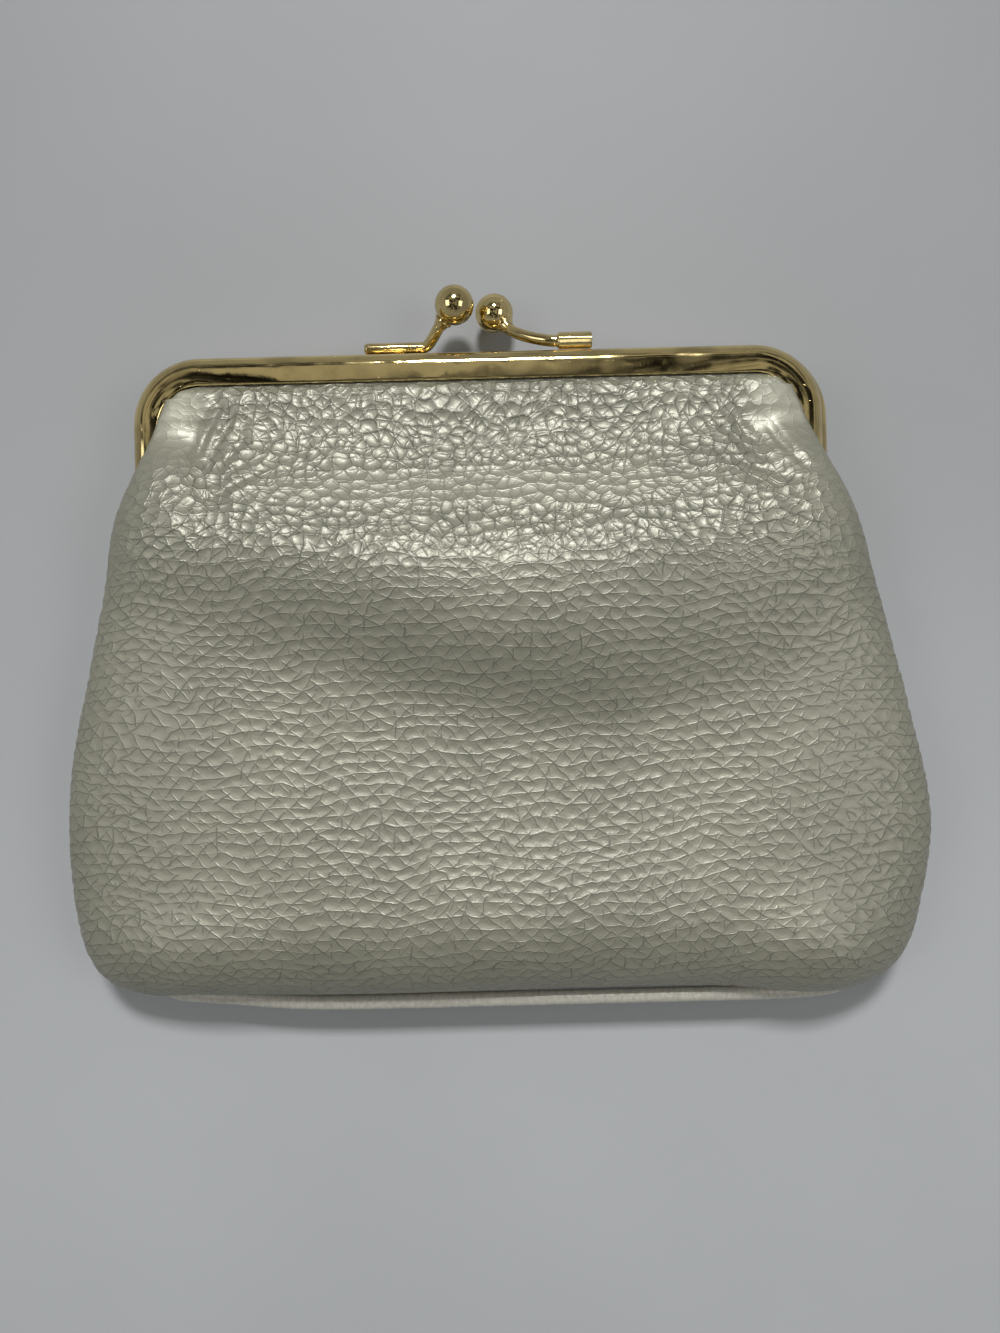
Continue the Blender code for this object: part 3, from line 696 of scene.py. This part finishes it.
def bag_grid(half, inset=0.0):
    """Points over one side of the bag, with its side edges rolled under."""
    front = half.up > 0
    angle = np.linspace(0.0, math.pi / 2, SIDE_STEPS)
    turn = np.linspace(0.0, math.pi / 2, ROLL_STEPS)
    rows = []
    for y, half_width, inner, hidden, turned, widest, middle in zip(*bag_rows(half, inset)):
        middle = max(middle, widest)
        roll = min(SIDE_ROLL, half_width - inner)
        flatness = BACK_FLATNESS
        if front:
            flatness = FRONT_FLATNESS + SHOULDER_FLATNESS * smooth_ramp(y, *SHOULDER)
        out = np.sin(angle) ** (2 / flatness)
        x_side = half_width * out
        crest = middle
        if front:
            sag = CREST_SAG * smooth_ramp(y, *SAG_TOP) * smooth_ramp(y, *SAG_BOTTOM)
            crest = np.maximum(middle_height(half, y - sag * out**2, inset), widest)
        z_side = widest + (crest - widest) * np.cos(angle) ** (2 / flatness)
        x_roll = half_width - roll + roll * np.cos(turn)
        z_roll = widest - (widest - turned) * np.sin(turn)
        x_half = np.concatenate([x_side, x_roll[1:], [inner, inner]])
        z_half = np.concatenate([z_side, z_roll[1:], [turned, hidden]])
        if not front:
            z_half = np.minimum(z_half, SEAM_Z - BACK_FLOOR - PARTING_HALF - inset)
        right = resample(np.stack([x_half, z_half], axis=1), COLUMNS // 2 + 1)
        x = np.concatenate([-right[:0:-1, 0], right[:, 0]])
        z = np.concatenate([right[:0:-1, 1], right[:, 1]])
        rows.append(np.stack([x + lean(y), np.full(len(x), y), half.height(z)], axis=1))
    grid = np.array(rows)
    grid[..., 1] += drawn_up(grid[..., 0], grid[..., 1])
    return grid if front else grid[:, ::-1]


def distance_to_line(x, y, points):
    """Distance of many places from a bent line, and how far along it the nearest place is."""
    best = np.full(x.shape, math.inf)
    along = np.zeros(x.shape)
    for i, ((ax, ay), (bx, by)) in enumerate(zip(points, points[1:])):
        dx, dy = bx - ax, by - ay
        t = np.clip(((x - ax) * dx + (y - ay) * dy) / (dx * dx + dy * dy), 0.0, 1.0)
        distance = np.hypot(x - ax - t * dx, y - ay - t * dy)
        nearer = distance < best
        best = np.where(nearer, distance, best)
        along = np.where(nearer, (i + t) / (len(points) - 1), along)
    return best, along


def furrow(depth, ratio):
    """Depth of a fold with low rims, where ratio is the squared share of its half width."""
    return depth * (1 - FOLD_RIM_SHARE * ratio) * np.exp(-ratio)


def front_relief(x, y):
    """Lumps and folds of the front panel, as heights along its normal."""
    height = np.zeros(x.shape)
    for cx, cy, half_x, half_y, rise in FRONT_LUMPS:
        height += rise * np.exp(-(((x - cx) / half_x) ** 2) - ((y - cy) / half_y) ** 2)
    from_line = y - table_value(SLACK_LINE, x)
    ratio = (from_line / np.where(from_line > 0, SLACK_ABOVE, SLACK_BELOW)) ** 2
    height -= furrow(SLACK_DEPTH * table_value(SLACK_SHARES, x), ratio)
    for width, depth, *points in FRONT_FOLDS:
        distance, along = distance_to_line(x, y, points)
        fade = np.sin(np.clip(along, *FOLD_END_SHARES) * math.pi) ** FOLD_EASE
        height -= furrow(depth * fade, (distance / width) ** 2)
    return height


def raised(grid, half):
    """The grid with the lumps and creases of the front panel, if it is the front one."""
    if half.up < 0:
        return grid
    height = front_relief(grid[..., 0] - lean(grid[..., 1]), grid[..., 1])
    mouth = half.top - FACE_WIDTH
    height *= smooth_ramp(grid[..., 1], mouth + LAYER_GAP, mouth - MM)
    normals = grid_normals(grid)
    normals *= np.sign(normals[len(grid) // 2, grid.shape[1] // 2, 2])
    return grid + normals * height[..., None]


def grain_places(grid):
    """Distances along the leather, across and down, in millimetres, for each point."""
    across = np.linalg.norm(np.diff(grid, axis=1), axis=2)
    across = np.concatenate([np.zeros((len(grid), 1)), np.cumsum(across, axis=1)], axis=1)
    across -= across[:, across.shape[1] // 2][:, None]
    down = np.linalg.norm(np.diff(grid, axis=0), axis=2)
    down = np.concatenate([np.zeros((1, grid.shape[1])), np.cumsum(down, axis=0)], axis=0)
    middle = down[:, down.shape[1] // 2][:, None]
    down = middle + (down - middle) * GRAIN_DOWN
    return across / MM, down / MM


def give_grain(item, grid, shift):
    """Stores the grain's coordinates and its strength on the mesh, and raises the pebbles."""
    across, down = grain_places(grid)
    gathered = smooth_ramp(grid[..., 1], *GATHER_PLACES)
    across *= 1 + GATHER_SHARE * gathered
    places = np.stack([across + shift, down, np.zeros(across.shape)], axis=-1)
    x = grid[..., 0] - lean(grid[..., 1])
    y = grid[..., 1]
    at_side = smooth_ramp(np.abs(x) / sewn_half_width(y), *AT_SIDE_SHARES)
    relief = 1 - (1 - SIDE_RELIEF_SHARE) * at_side * gathered
    for cx, cy, half_x, half_y, left in SMOOTH_PLACES:
        away = ((x - cx) / half_x) ** 2 + ((y - cy) / half_y) ** 2
        relief *= 1 - (1 - left) * np.exp(-(away**2))
    fields = {
        "grain": ("FLOAT_VECTOR", "vector", places),
        "relief": ("FLOAT", "value", relief),
        "gathered": ("FLOAT", "value", gathered),
    }
    for name, (kind, key, values) in fields.items():
        attribute = item.data.attributes.new(name, kind, "POINT")
        attribute.data.foreach_set(key, values.astype(np.float32).ravel())
    modifier = item.modifiers.new("Pebbles", "NODES")
    modifier.node_group = pebble_tree()
    bpy.context.view_layer.update()
    graph = bpy.context.evaluated_depsgraph_get()
    shaped = bpy.data.meshes.new_from_object(
        item.evaluated_get(graph), preserve_all_data_layers=True, depsgraph=graph
    )
    item.modifiers.clear()
    old = item.data
    item.data = shaped
    bpy.data.meshes.remove(old)
    return item


def pebble_tree():
    """Geometry nodes that move each point of the leather by the height of its grain."""
    if "pebbles" in bpy.data.node_groups:
        return bpy.data.node_groups["pebbles"]
    tree = bpy.data.node_groups.new("pebbles", "GeometryNodeTree")
    tree.interface.new_socket("Geometry", in_out="INPUT", socket_type="NodeSocketGeometry")
    tree.interface.new_socket("Geometry", in_out="OUTPUT", socket_type="NodeSocketGeometry")
    graph = Graph(tree)
    source = graph.node("NodeGroupInput")
    place, relief, gathered = [
        graph.node("GeometryNodeInputNamedAttribute", {"Name": name}, data_type=kind).outputs[0]
        for name, kind in (("grain", "FLOAT_VECTOR"), ("relief", "FLOAT"), ("gathered", "FLOAT"))
    ]
    dome, border, families = pebble_fields(graph, place)
    net = graph.times(crossed(graph, families, NET_WIDTH), NET_HEIGHT)
    pebble = graph.ramp(dome, 0.0, 1.0, 1 - PEBBLE_ROUNDNESS, 1.0, "LINEAR")
    width, least = PEBBLE_BORDER
    pebble = graph.times(pebble, graph.ramp(border, 0.0, width, least, 1.0))
    width, least = PEBBLE_CREASE
    creases = graph.ramp(crossed(graph, families, width), 0.0, 1.0, least, 1.0)
    pebble = graph.times(pebble, creases)
    pebble = graph.times(pebble, PEBBLE_HEIGHT)
    height = graph.times(net, graph.rest(gathered))
    height = graph.times(graph.plus(height, pebble, gathered), relief)
    normal = graph.node("GeometryNodeInputNormal")
    offset = graph.scaled(normal.outputs[0], height)
    sides = {"Geometry": source.outputs[0], "Offset": offset}
    graph.node("NodeGroupOutput", {0: graph.node("GeometryNodeSetPosition", sides).outputs[0]})
    return tree


def new_material(name):
    material = bpy.data.materials.new(name)
    material.use_nodes = True
    return material, Graph(material.node_tree), material.node_tree.nodes["Principled BSDF"]


def finish_surface(graph, shader, colour, roughness, normal, gloss):
    """Feeds the three sockets that every surface of the purse varies, and sets the even ones."""
    graph.feed(shader.inputs["Base Color"], colour)
    graph.feed(shader.inputs["Roughness"], roughness)
    graph.feed(shader.inputs["Normal"], normal)
    for socket, value in gloss.items():
        shader.inputs[socket].default_value = value


def leather_material():
    """Pebbled leather with painted shade darkening its creases, small folds in each pebble and a
    pearly sheen.
    """
    material, graph, shader = new_material("taupe_leather")
    place = graph.node("ShaderNodeAttribute", attribute_name="grain").outputs["Vector"]
    relief, gathered = [
        graph.node("ShaderNodeAttribute", attribute_name=name).outputs["Fac"]
        for name in ("relief", "gathered")
    ]
    dome, border, families = pebble_fields(graph, place)
    wrinkles = graph.noise(place, *WRINKLE_NOISE)
    pores = graph.noise(place, *PORE_NOISE)
    height = graph.times(crossed(graph, families, CREASE_BUMP_WIDTH), CREASE_BUMP)
    pebble = graph.times(graph.ramp(border, 0.0, BORDER_BUMP_WIDTH), BORDER_BUMP)
    height = graph.plus(height, graph.plus(pebble, dome, DOME_BUMP), gathered)
    height = graph.plus(height, wrinkles, WRINKLE_BUMP)
    height = graph.plus(height, pores, PORE_BUMP)
    normal = graph.bump(graph.times(height, relief))
    drift = graph.noise(place, *LEATHER_DRIFT)
    colour = graph.mottled(drift, MIDDLE, LEATHER_COLOUR, 0.94, 1.06)
    # Painted shade: the colour is darkened in the creases and along the pebbles' borders, where
    # shade falls
    between = graph.ramp(border, 0.0, BORDER_PAINTED_SHADE_WIDTH, BORDER_PAINTED_SHADE, 0.0)
    between = graph.rest(graph.times(between, gathered))
    creases = crossed(graph, families, CREASE_PAINTED_SHADE_WIDTH)
    creases = graph.ramp(creases, 0.0, 1.0, CREASE_PAINTED_SHADE, 1.0, "LINEAR")
    painted_shade = graph.rest(graph.times(creases, between))
    painted_shade_level = graph.rest(graph.times(painted_shade, relief))
    painted_shade_grey = graph.node("ShaderNodeCombineColor", {0: painted_shade_level, 1: painted_shade_level, 2: painted_shade_level}).outputs[0]
    colour = graph.mixed(1.0, colour, painted_shade_grey, blend_type="MULTIPLY")
    roughness = graph.ramp(wrinkles, *MOST, 0.0, 0.10)
    level = graph.ramp(gathered, 0.0, 1.0, *LEATHER_ROUGHNESS)
    roughness = graph.math("ADD", roughness, level)
    finish_surface(graph, shader, colour, roughness, normal, LEATHER_GLOSS)
    graph.feed(shader.inputs["Coat Normal"], normal)
    return material


def smooth_leather_material():
    """The same leather pulled tight over the piping, coloured paler as painted light, with fine
    uneven specks.
    """
    material, graph, shader = new_material("piping_leather")
    place = graph.scaled(graph.node("ShaderNodeTexCoord").outputs["Object"], 1 / MM)
    drawn = graph.vector("MULTIPLY", place, TIGHT_STRETCH)
    wrinkles = graph.noise(drawn, *TIGHT_NOISE)
    specks = graph.noise(place, *SPECK_NOISE)
    normal = graph.bump(graph.plus(wrinkles, specks, 0.3), 0.8, PIPING_WRINKLE)
    # Painted light: the roll is coloured paler than the bag's leather, as if lit
    colour = graph.mottled(wrinkles, MIDDLE, PIPING_PAINTED_LIGHT_COLOUR, 0.9, 1.1)
    roughness = graph.ramp(specks, *MOST, *PIPING_ROUGHNESS)
    finish_surface(graph, shader, colour, roughness, normal, PIPING_GLOSS)
    return material


def gold_material():
    """Pale gold plating with a little tarnish, soft dents and a few bright specks."""
    material, graph, shader = new_material("pale_gold")
    place = graph.scaled(graph.node("ShaderNodeTexCoord").outputs["Object"], 1 / MM)
    tarnish = graph.noise(place, *TARNISH_NOISE)
    colour = graph.mottled(tarnish, MIDDLE, GOLD_COLOUR, 1.0, GOLD_TARNISH)
    dents = graph.noise(place, *DENT_NOISE)
    waves = graph.noise(place, *WAVE_NOISE)
    specks = graph.ramp(graph.noise(place, *GOLD_SPECK_NOISE), *GOLD_SPECK_EDGES)
    height = graph.times(dents, GOLD_DENTS)
    height = graph.plus(height, waves, GOLD_WAVES)
    height = graph.plus(height, specks, GOLD_SPECKS)
    roughness = graph.ramp(tarnish, *MOST, *GOLD_ROUGHNESS)
    finish_surface(graph, shader, colour, roughness, graph.bump(height), GOLD_GLOSS)
    return material


def woven_material(name, colour, pitch):
    """Plain woven cloth or twisted paper, by fine crossing threads."""
    material, graph, shader = new_material(name)
    place = graph.scaled(graph.node("ShaderNodeTexCoord").outputs["Object"], 2 * math.pi / pitch)
    apart = graph.node("ShaderNodeSeparateXYZ", {0: place})
    warp = graph.math("SINE", apart.outputs[0])
    weft = graph.math("SINE", apart.outputs[1])
    weave = graph.times(warp, weft)
    drift = graph.noise(place, *CLOTH_DRIFT)
    factor = graph.plus(graph.ramp(weave, -1.0, 1.0, 0.0, 0.6), drift, 0.4)
    woven = graph.mixed(factor, shade(colour, 0.8), shade(colour, 1.2))
    roughness = graph.ramp(drift, *MOST, *CLOTH_ROUGHNESS)
    finish_surface(graph, shader, woven, roughness, graph.bump(weave, 0.5, pitch / 8), {})
    return material


def floor_material():
    """Plain pale floor with painted shade that darkens it behind the clasp, that runs into the
    backdrop far away.
    """
    material, graph, shader = new_material("floor")
    place = graph.node("ShaderNodeTexCoord").outputs["Object"]
    mottle = graph.noise(place, *FLOOR_NOISE)
    colour = graph.mottled(mottle, MOST, FLOOR_COLOUR, 0.97, 1.03)
    # Painted shade: the floor is coloured darker towards the clasp's side
    up = graph.node("ShaderNodeSeparateXYZ", {0: place}).outputs[1]
    colour = graph.scaled(colour, graph.ramp(up, *FLOOR_PAINTED_SHADE_SPAN, 1.0, FLOOR_PAINTED_SHADE))
    graph.feed(shader.inputs["Base Color"], colour)
    shader.inputs["Roughness"].default_value = FLOOR_ROUGHNESS
    distance = graph.node("ShaderNodeVectorMath", {0: place}, operation="LENGTH").outputs["Value"]
    far = graph.ramp(distance, *BACKDROP_DISTANCES)
    path = graph.node("ShaderNodeLightPath").outputs
    mirrored = graph.math("MAXIMUM", path["Is Glossy Ray"], path["Is Transmission Ray"])
    seen = graph.times(far, graph.math("MAXIMUM", path["Is Camera Ray"], mirrored))
    backdrop = graph.node("ShaderNodeEmission", {"Color": (*BACKDROP_COLOUR, 1.0)})
    sides = {0: seen, 1: shader.outputs[0], 2: backdrop.outputs[0]}
    surface = graph.node("ShaderNodeMixShader", sides).outputs[0]
    graph.feed(material.node_tree.nodes["Material Output"].inputs["Surface"], surface)
    return material


def channel_section(crown):
    """Section of a frame half, as (inwards from the outer edge, away from the parting plane)."""
    bend = EDGE_ROUNDING
    inner_bend = bend - SHEET
    top = HALF_HEIGHT
    width = FACE_WIDTH
    lip = LIP_ROUNDING

    def arc(cx, cy, radius, start, end, steps):
        angles = np.radians(np.linspace(start, end, steps))
        return np.stack([cx + radius * np.cos(angles), cy + radius * np.sin(angles)], axis=1)

    flat = np.linspace(width - lip, FACE_ROUNDING, FACE_STEPS + 2)[1:-1]
    face = np.stack([flat, np.full(FACE_STEPS, top)], axis=1)
    shoulder = arc(0.0, 0.0, 1.0, 90, 180, SHOULDER_STEPS) * (FACE_ROUNDING, bend)
    shoulder += (FACE_ROUNDING, top - bend)
    outline = np.concatenate([
        arc(width - lip, top - lip, lip, 0, 90, LIP_STEPS),
        face,
        shoulder,
        arc(bend, bend, bend, 180, 270, OUTER_STEPS),
        [[width - SHEET, 0.0], [width - SHEET, SHEET]],
        arc(bend, bend, inner_bend, 270, 180, INNER_STEPS),
        arc(bend, top - bend, inner_bend, 180, 90, INNER_STEPS),
        [[width - lip, top - SHEET]],
    ])
    over = outline[:, 1] > top - bend
    bulge = np.clip(1 - ((outline[:, 0] - width / 2) / (width / 2)) ** 2, 0.0, 1.0)
    outline[:, 1] += np.where(over, crown * bulge, 0.0)
    return outline


def make_frame_half(name, half, material):
    """The bent channel of one half."""
    rings = []
    for x, y, inward_x, inward_y, bend in half.stations():
        section = channel_section(STRAIGHT_CROWN + (CORNER_CROWN - STRAIGHT_CROWN) * bend)
        x += half.shift
        ring = [(x + inward_x * a, y + inward_y * a, half.height(b)) for a, b in section]
        rings.append(ring)
    return piece_from_grid(name, np.array(rings), material, wrap=True, caps=True, flip=half.up < 0)


def make_ear(name, half, side_x, material):
    """The flat ear at an arm's end, with its hole for the rivet."""
    angles = np.linspace(0, 2 * math.pi, EAR_STEPS, endpoint=False)
    circle = np.stack([np.cos(angles), np.sin(angles)], axis=1)
    outer = circle * EAR_RADIUS
    reach = EAR_REACH + EAR_RADIUS / 2
    toward = (circle[:, 0] > EAR_NECK_SHARES[0]) & (circle[:, 1] > EAR_NECK_SHARES[1])
    outer[toward, 0] = reach
    neck = np.clip(circle[:, 1] * EAR_RADIUS * EAR_NECK_SPREAD, PARTING_HALF, None)
    outer[:, 1] = np.where(toward, neck, outer[:, 1])
    middle_x = half.shift + side_x * (half.half_width - SHEET / 2)
    rings = []
    for outline, side in ((circle * EAR_HOLE, -1), (outer, -1), (outer, 1), (circle * EAR_HOLE, 1)):
        x = middle_x + side * EAR_THICKNESS / 2
        rings.append([(x, HINGE_Y + a, SEAM_Z + half.up * b) for a, b in outline])
    rings.append(rings[0])
    grid = np.array(rings)
    return piece_from_grid(name, grid, material, wrap=True, flip=half.up > 0)


def joined(name, items):
    """One object made of several."""
    bpy.ops.object.select_all(action="DESELECT")
    for item in items:
        item.select_set(True)
    bpy.context.view_layer.objects.active = items[0]
    bpy.ops.object.join()
    items[0].name = name
    items[0].data.name = name
    return items[0]


def tube_grid(points, radii, sides, twist=0.0, lobes=0, lobe_depth=0.0):
    """Rings round a line of points. radii holds one or two half sizes for each point."""
    points = np.array(points, float)
    tangents = np.gradient(points, axis=0)
    tangents /= np.linalg.norm(tangents, axis=1, keepdims=True)
    angles = np.linspace(0, 2 * math.pi, sides, endpoint=False)
    up = np.array([0.0, 0.0, 1.0])
    length = np.concatenate([[0.0], np.cumsum(np.linalg.norm(np.diff(points, axis=0), axis=1))])
    rings = []
    for point, tangent, radius, place in zip(points, tangents, radii, length):
        side = np.cross(tangent, up)
        if np.linalg.norm(side) < 1e-6:
            side = np.array([1.0, 0.0, 0.0])
        side /= np.linalg.norm(side)
        over = np.cross(side, tangent)
        up = over
        wide, tall = radius if np.ndim(radius) else (radius, radius)
        turned = angles + twist * place
        swell = 1 + lobe_depth * np.cos(lobes * turned) if lobes else np.ones(sides)
        ring = point + np.outer(np.cos(angles) * swell * wide, side)
        rings.append(ring + np.outer(np.sin(angles) * swell * tall, over))
    return np.array(rings)


def make_tube(name, points, radii, sides, material, *strands):
    """A closed tube along a line of points, plain or twisted from strands."""
    grid = tube_grid(points, radii, sides, *strands)
    return piece_from_grid(name, grid, material, wrap=True, caps=True)


def make_cord(name, points, radius, sides, material):
    """A twisted paper cord along a line of points."""
    radii = np.full(len(points), radius)
    strands = (2 * math.pi / CORD_LAY, CORD_STRANDS, CORD_LOBE_SHARE)
    return make_tube(name, points, radii, sides, material, *strands)


def bezier(points, steps):
    """Points on the Bezier curve that the given points steer."""
    path = []
    for t in np.linspace(0, 1, steps):
        work = [np.array(p, float) for p in points]
        while len(work) > 1:
            work = [a + (b - a) * t for a, b in zip(work, work[1:])]
        path.append(work[0])
    return path


def make_ball(name, centre, material):
    """A polished round head."""
    latitudes = np.linspace(-math.pi / 2, math.pi / 2, BALL_RINGS)
    angles = np.linspace(0, 2 * math.pi, BALL_SIDES, endpoint=False)
    rings = []
    for latitude in latitudes:
        radius = max(math.cos(latitude), 1e-5) * BALL_RADIUS
        z = math.sin(latitude) * BALL_RADIUS
        rings.append([
            (centre.x + radius * math.cos(a), centre.y + radius * math.sin(a), centre.z + z)
            for a in angles
        ])
    return piece_from_grid(name, np.array(rings), material, wrap=True, caps=True)


def heel_share(t, reach, least):
    """Size of a foot near its rounded heel, as a share of its full size."""
    return least + (1 - least) * smooth_ramp(t, 0.0, reach)


def make_clasp(word, half, side_x, material):
    """One stem with its foot on the frame's top edge, its collar and its ball."""
    low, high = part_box(f"{word}_clasp_ball")
    centre = (low + high) / 2
    start, end, bend = FRONT_FOOT if half.up > 0 else BACK_FOOT
    thick = TAB_WIDTH / 2 if half.up > 0 else STEM_RADIUS
    foot_y = half.top + FOOT_GAP + thick
    foot_z = half.height(FOOT_HEIGHT)
    knee_x = centre.x + side_x * BALL_RADIUS
    knee = Vector((knee_x, foot_y + BEND_REACH, (foot_z + centre.z) / 2))
    direction = (knee - centre).normalized()
    tip = centre + direction * (BALL_RADIUS - SOCKET_DEPTH)
    heel = (side_x * end, foot_y, foot_z)
    elbow = (side_x * bend, foot_y, foot_z)
    neck = centre + direction * (BALL_RADIUS + COLLAR_HEIGHT)
    path = []
    radii = []
    for t in np.linspace(0, 1, FOOT_STEPS, endpoint=False):
        x = start + (end - start) * t
        path.append((side_x * x, foot_y, foot_z))
        if half.up > 0:
            groove = TAB_GROOVE_DEPTH * math.cos(2 * math.pi * x / TAB_GROOVE_PITCH)
            tail = heel_share(t, *TAB_HEEL_SHARES)
            shoulder = smooth_ramp(t, TAB_NECK_SHARE, 1.0)
            sizes = [(size / 2 - groove) * tail for size in (TAB_WIDTH, TAB_HEIGHT)]
            radii.append(tuple(size + (STEM_RADIUS - size) * shoulder for size in sizes))
        else:
            radius = STEM_RADIUS * heel_share(t, *STEM_HEEL_SHARES)
            radii.append((radius, radius))
    path += bezier([heel, elbow, tuple(knee), tuple(neck)], BEND_STEPS)
    path.append(tuple(tip))
    radii += [(STEM_RADIUS, STEM_RADIUS)] * (BEND_STEPS + 1)
    stem = make_tube(f"{word}_clasp_stem", path, radii, CLASP_SIDES, material)
    path = []
    radii = []
    for t in np.linspace(0, 1, COLLAR_STEPS):
        away = BALL_RADIUS * COLLAR_START_SHARE + (COLLAR_HEIGHT + SOCKET_GAP) * t
        path.append(tuple(centre + direction * away))
        bead = math.sin(math.pi * min(t * COLLAR_BEAD_TURNS, 1.0)) * COLLAR_BEAD_SHARE
        waist = (1 - COLLAR_TAPER_SHARE * t) * COLLAR_WAIST_SHARE
        radii.append(COLLAR_RADIUS * (waist + bead))
    collar = make_tube(f"{word}_clasp_flare", path, radii, CLASP_SIDES, material)
    ball = make_ball(f"{word}_clasp_head", centre, material)
    body = "front_half" if half.up > 0 else "back_half"
    for item, node in ((stem, "arm"), (collar, "collar"), (ball, "ball")):
        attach(item, body)
        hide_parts(f"{word}_clasp_{node}")


def make_leather(name, half, material, shift):
    """One side of the bag in one sheet of pebbled leather."""
    grid = raised(bag_grid(half), half)
    item = piece_from_grid(name, grid, material)
    return give_grain(item, grid, shift)


def make_lining(name, half, material):
    """The cloth inside one side of the bag."""
    grid = raised(bag_grid(half, LEATHER + LINING_GAP), half)[::LINING_EVERY, ::LINING_EVERY]
    item = piece_from_grid(name, grid, material)
    thicken = item.modifiers.new("Thickness", "SOLIDIFY")
    thicken.thickness = LINING
    thicken.offset = -1.0
    return item


def make_piping(leather, paper):
    """The leather roll along the bottom seam with the cord inside it."""
    centre_y = BOTTOM_Y - PIPING_GAP - PIPING_RADIUS
    shares = np.linspace(-1, 1, PIPING_STEPS)
    x = shares * PIPING_HALF_LENGTH
    x += lean(BOTTOM_Y) + PIPING_SHIFT
    to_ends = shares**PIPING_END_POWER
    y = centre_y + PIPING_RISE * to_ends + drawn_up(x, BOTTOM_Y)
    z = SEAM_Z + PIPING_LIFT * (1 - to_ends)
    points = np.stack([x, y, z], axis=1)
    uneven = np.ones(PIPING_STEPS)
    for share, waves in PIPING_WAVES:
        uneven += share * np.sin(shares * waves)
    radii = PIPING_RADIUS * smooth_ramp(1 - np.abs(shares), *PIPING_TAPER_SHARES) * uneven
    roll = make_tube("bottom_piping_roll", points, radii, PIPING_SIDES, leather)
    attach(roll, "back_half")
    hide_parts("bottom_piping")
    inside = points[CORE_START:-CORE_START]
    cord = make_cord("bottom_piping_core", inside, CORD_RADIUS, CORE_SIDES, paper)
    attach(cord, "back_half")
    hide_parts("bottom_piping_cord")


def make_packing_cord(name, half, material):
    """The twisted paper cord pressed into a channel."""
    inset = SHEET + LAYER_GAP + PACKING_RADIUS
    points = [(x + nx * inset, y + ny * inset) for x, y, nx, ny, _ in half.stations()]
    line = resample(np.array(points), PACKING_STEPS)
    path = [(x + half.shift, y, half.height(HALF_HEIGHT / 2)) for x, y in line]
    return make_cord(name, path, PACKING_RADIUS, PACKING_SIDES, material)


def make_camera():
    data = bpy.data.cameras.new("camera")
    data.lens = LENS
    data.sensor_width = SENSOR
    data.clip_start = CLIP_START
    camera = bpy.data.objects.new("camera", data)
    camera.location = (CAMERA_X, CAMERA_Y, CAMERA_HEIGHT)
    camera.rotation_euler = (0.0, 0.0, CAMERA_ROLL)
    bpy.context.scene.collection.objects.link(camera)
    bpy.context.scene.camera = camera


def make_light(name, place, size, power):
    data = bpy.data.lights.new(name, "AREA")
    data.shape = "RECTANGLE"
    data.size, data.size_y = size
    data.energy = power
    light = bpy.data.objects.new(name, data)
    light.location = place
    light.rotation_euler = (-Vector(place)).to_track_quat("-Z", "Y").to_euler()
    bpy.context.scene.collection.objects.link(light)


def make_stage():
    """Floor, lamps and a plain surround with dim and light patches overhead."""
    bpy.ops.mesh.primitive_plane_add(size=FLOOR_SIZE, location=(0.0, 0.0, -FLOOR_DROP))
    floor = bpy.context.object
    floor.name = "floor"
    floor.data.materials.append(floor_material())
    for lamp in LAMPS:
        make_light(*lamp)
    world = bpy.data.worlds.new("studio")
    bpy.context.scene.world = world
    world.use_nodes = True
    graph = Graph(world.node_tree)
    background = world.node_tree.nodes["Background"]
    direction = graph.node("ShaderNodeTexCoord").outputs["Generated"]
    height = graph.node("ShaderNodeSeparateXYZ", {0: direction}).outputs[2]
    patches = graph.ramp(graph.noise(direction, *PATCH_NOISE), *PATCH_EDGES)
    overhead = graph.mixed(patches, (*OVERHEAD_DARK, 1.0), (*OVERHEAD_LIGHT, 1.0))
    above = graph.ramp(height, *OVERHEAD_HEIGHTS)
    colour = graph.mixed(above, (*BACKDROP_COLOUR, 1.0), overhead)
    graph.feed(background.inputs["Color"], colour)
    background.inputs["Strength"].default_value = 1.0


def main():
    bpy.context.scene.view_settings.view_transform = "Standard"
    gold = gold_material()
    leather = leather_material()
    tight_leather = smooth_leather_material()
    cloth = woven_material("lining_cloth", LINING_COLOUR, LINING_PITCH)
    paper = woven_material("paper_cord", CORD_COLOUR, PAPER_PITCH)

    front = make_leather("front_leather", FRONT, leather, 0.0)
    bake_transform(front)
    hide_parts("front_panel_top", "front_panel_fold", "front_panel")
    back = make_leather("back_leather", BACK, leather, BACK_GRAIN_SHIFT)
    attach(back, "back_half")
    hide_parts("back_panel")
    inner = make_lining("front_lining_cloth", FRONT, cloth)
    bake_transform(inner)
    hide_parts("front_lining_top", "front_lining_fold", "front_lining")
    inner = make_lining("back_lining_cloth", BACK, cloth)
    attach(inner, "back_half")
    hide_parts("back_lining")
    make_piping(tight_leather, paper)

    for word, half in (("front", FRONT), ("back", BACK)):
        body = f"{word}_half"
        parts = [make_frame_half("channel", half, gold)]
        parts += [make_ear("ear", half, side, gold) for side in (-1, 1)]
        shell = joined(f"{word}_frame_channel", parts)
        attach(shell, body)
        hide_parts(f"{word}_frame")
        cord = make_packing_cord(f"{word}_packing_twist", half, paper)
        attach(cord, body)
        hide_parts(f"{word}_packing_cord")
        make_clasp(word, half, 1 if half.up > 0 else -1, gold)
    for name in ("left_hinge_rivet", "right_hinge_rivet"):
        node = frame["nodes"][name]
        node.data.materials.clear()
        node.data.materials.append(gold)
    make_stage()
    make_camera()


main()
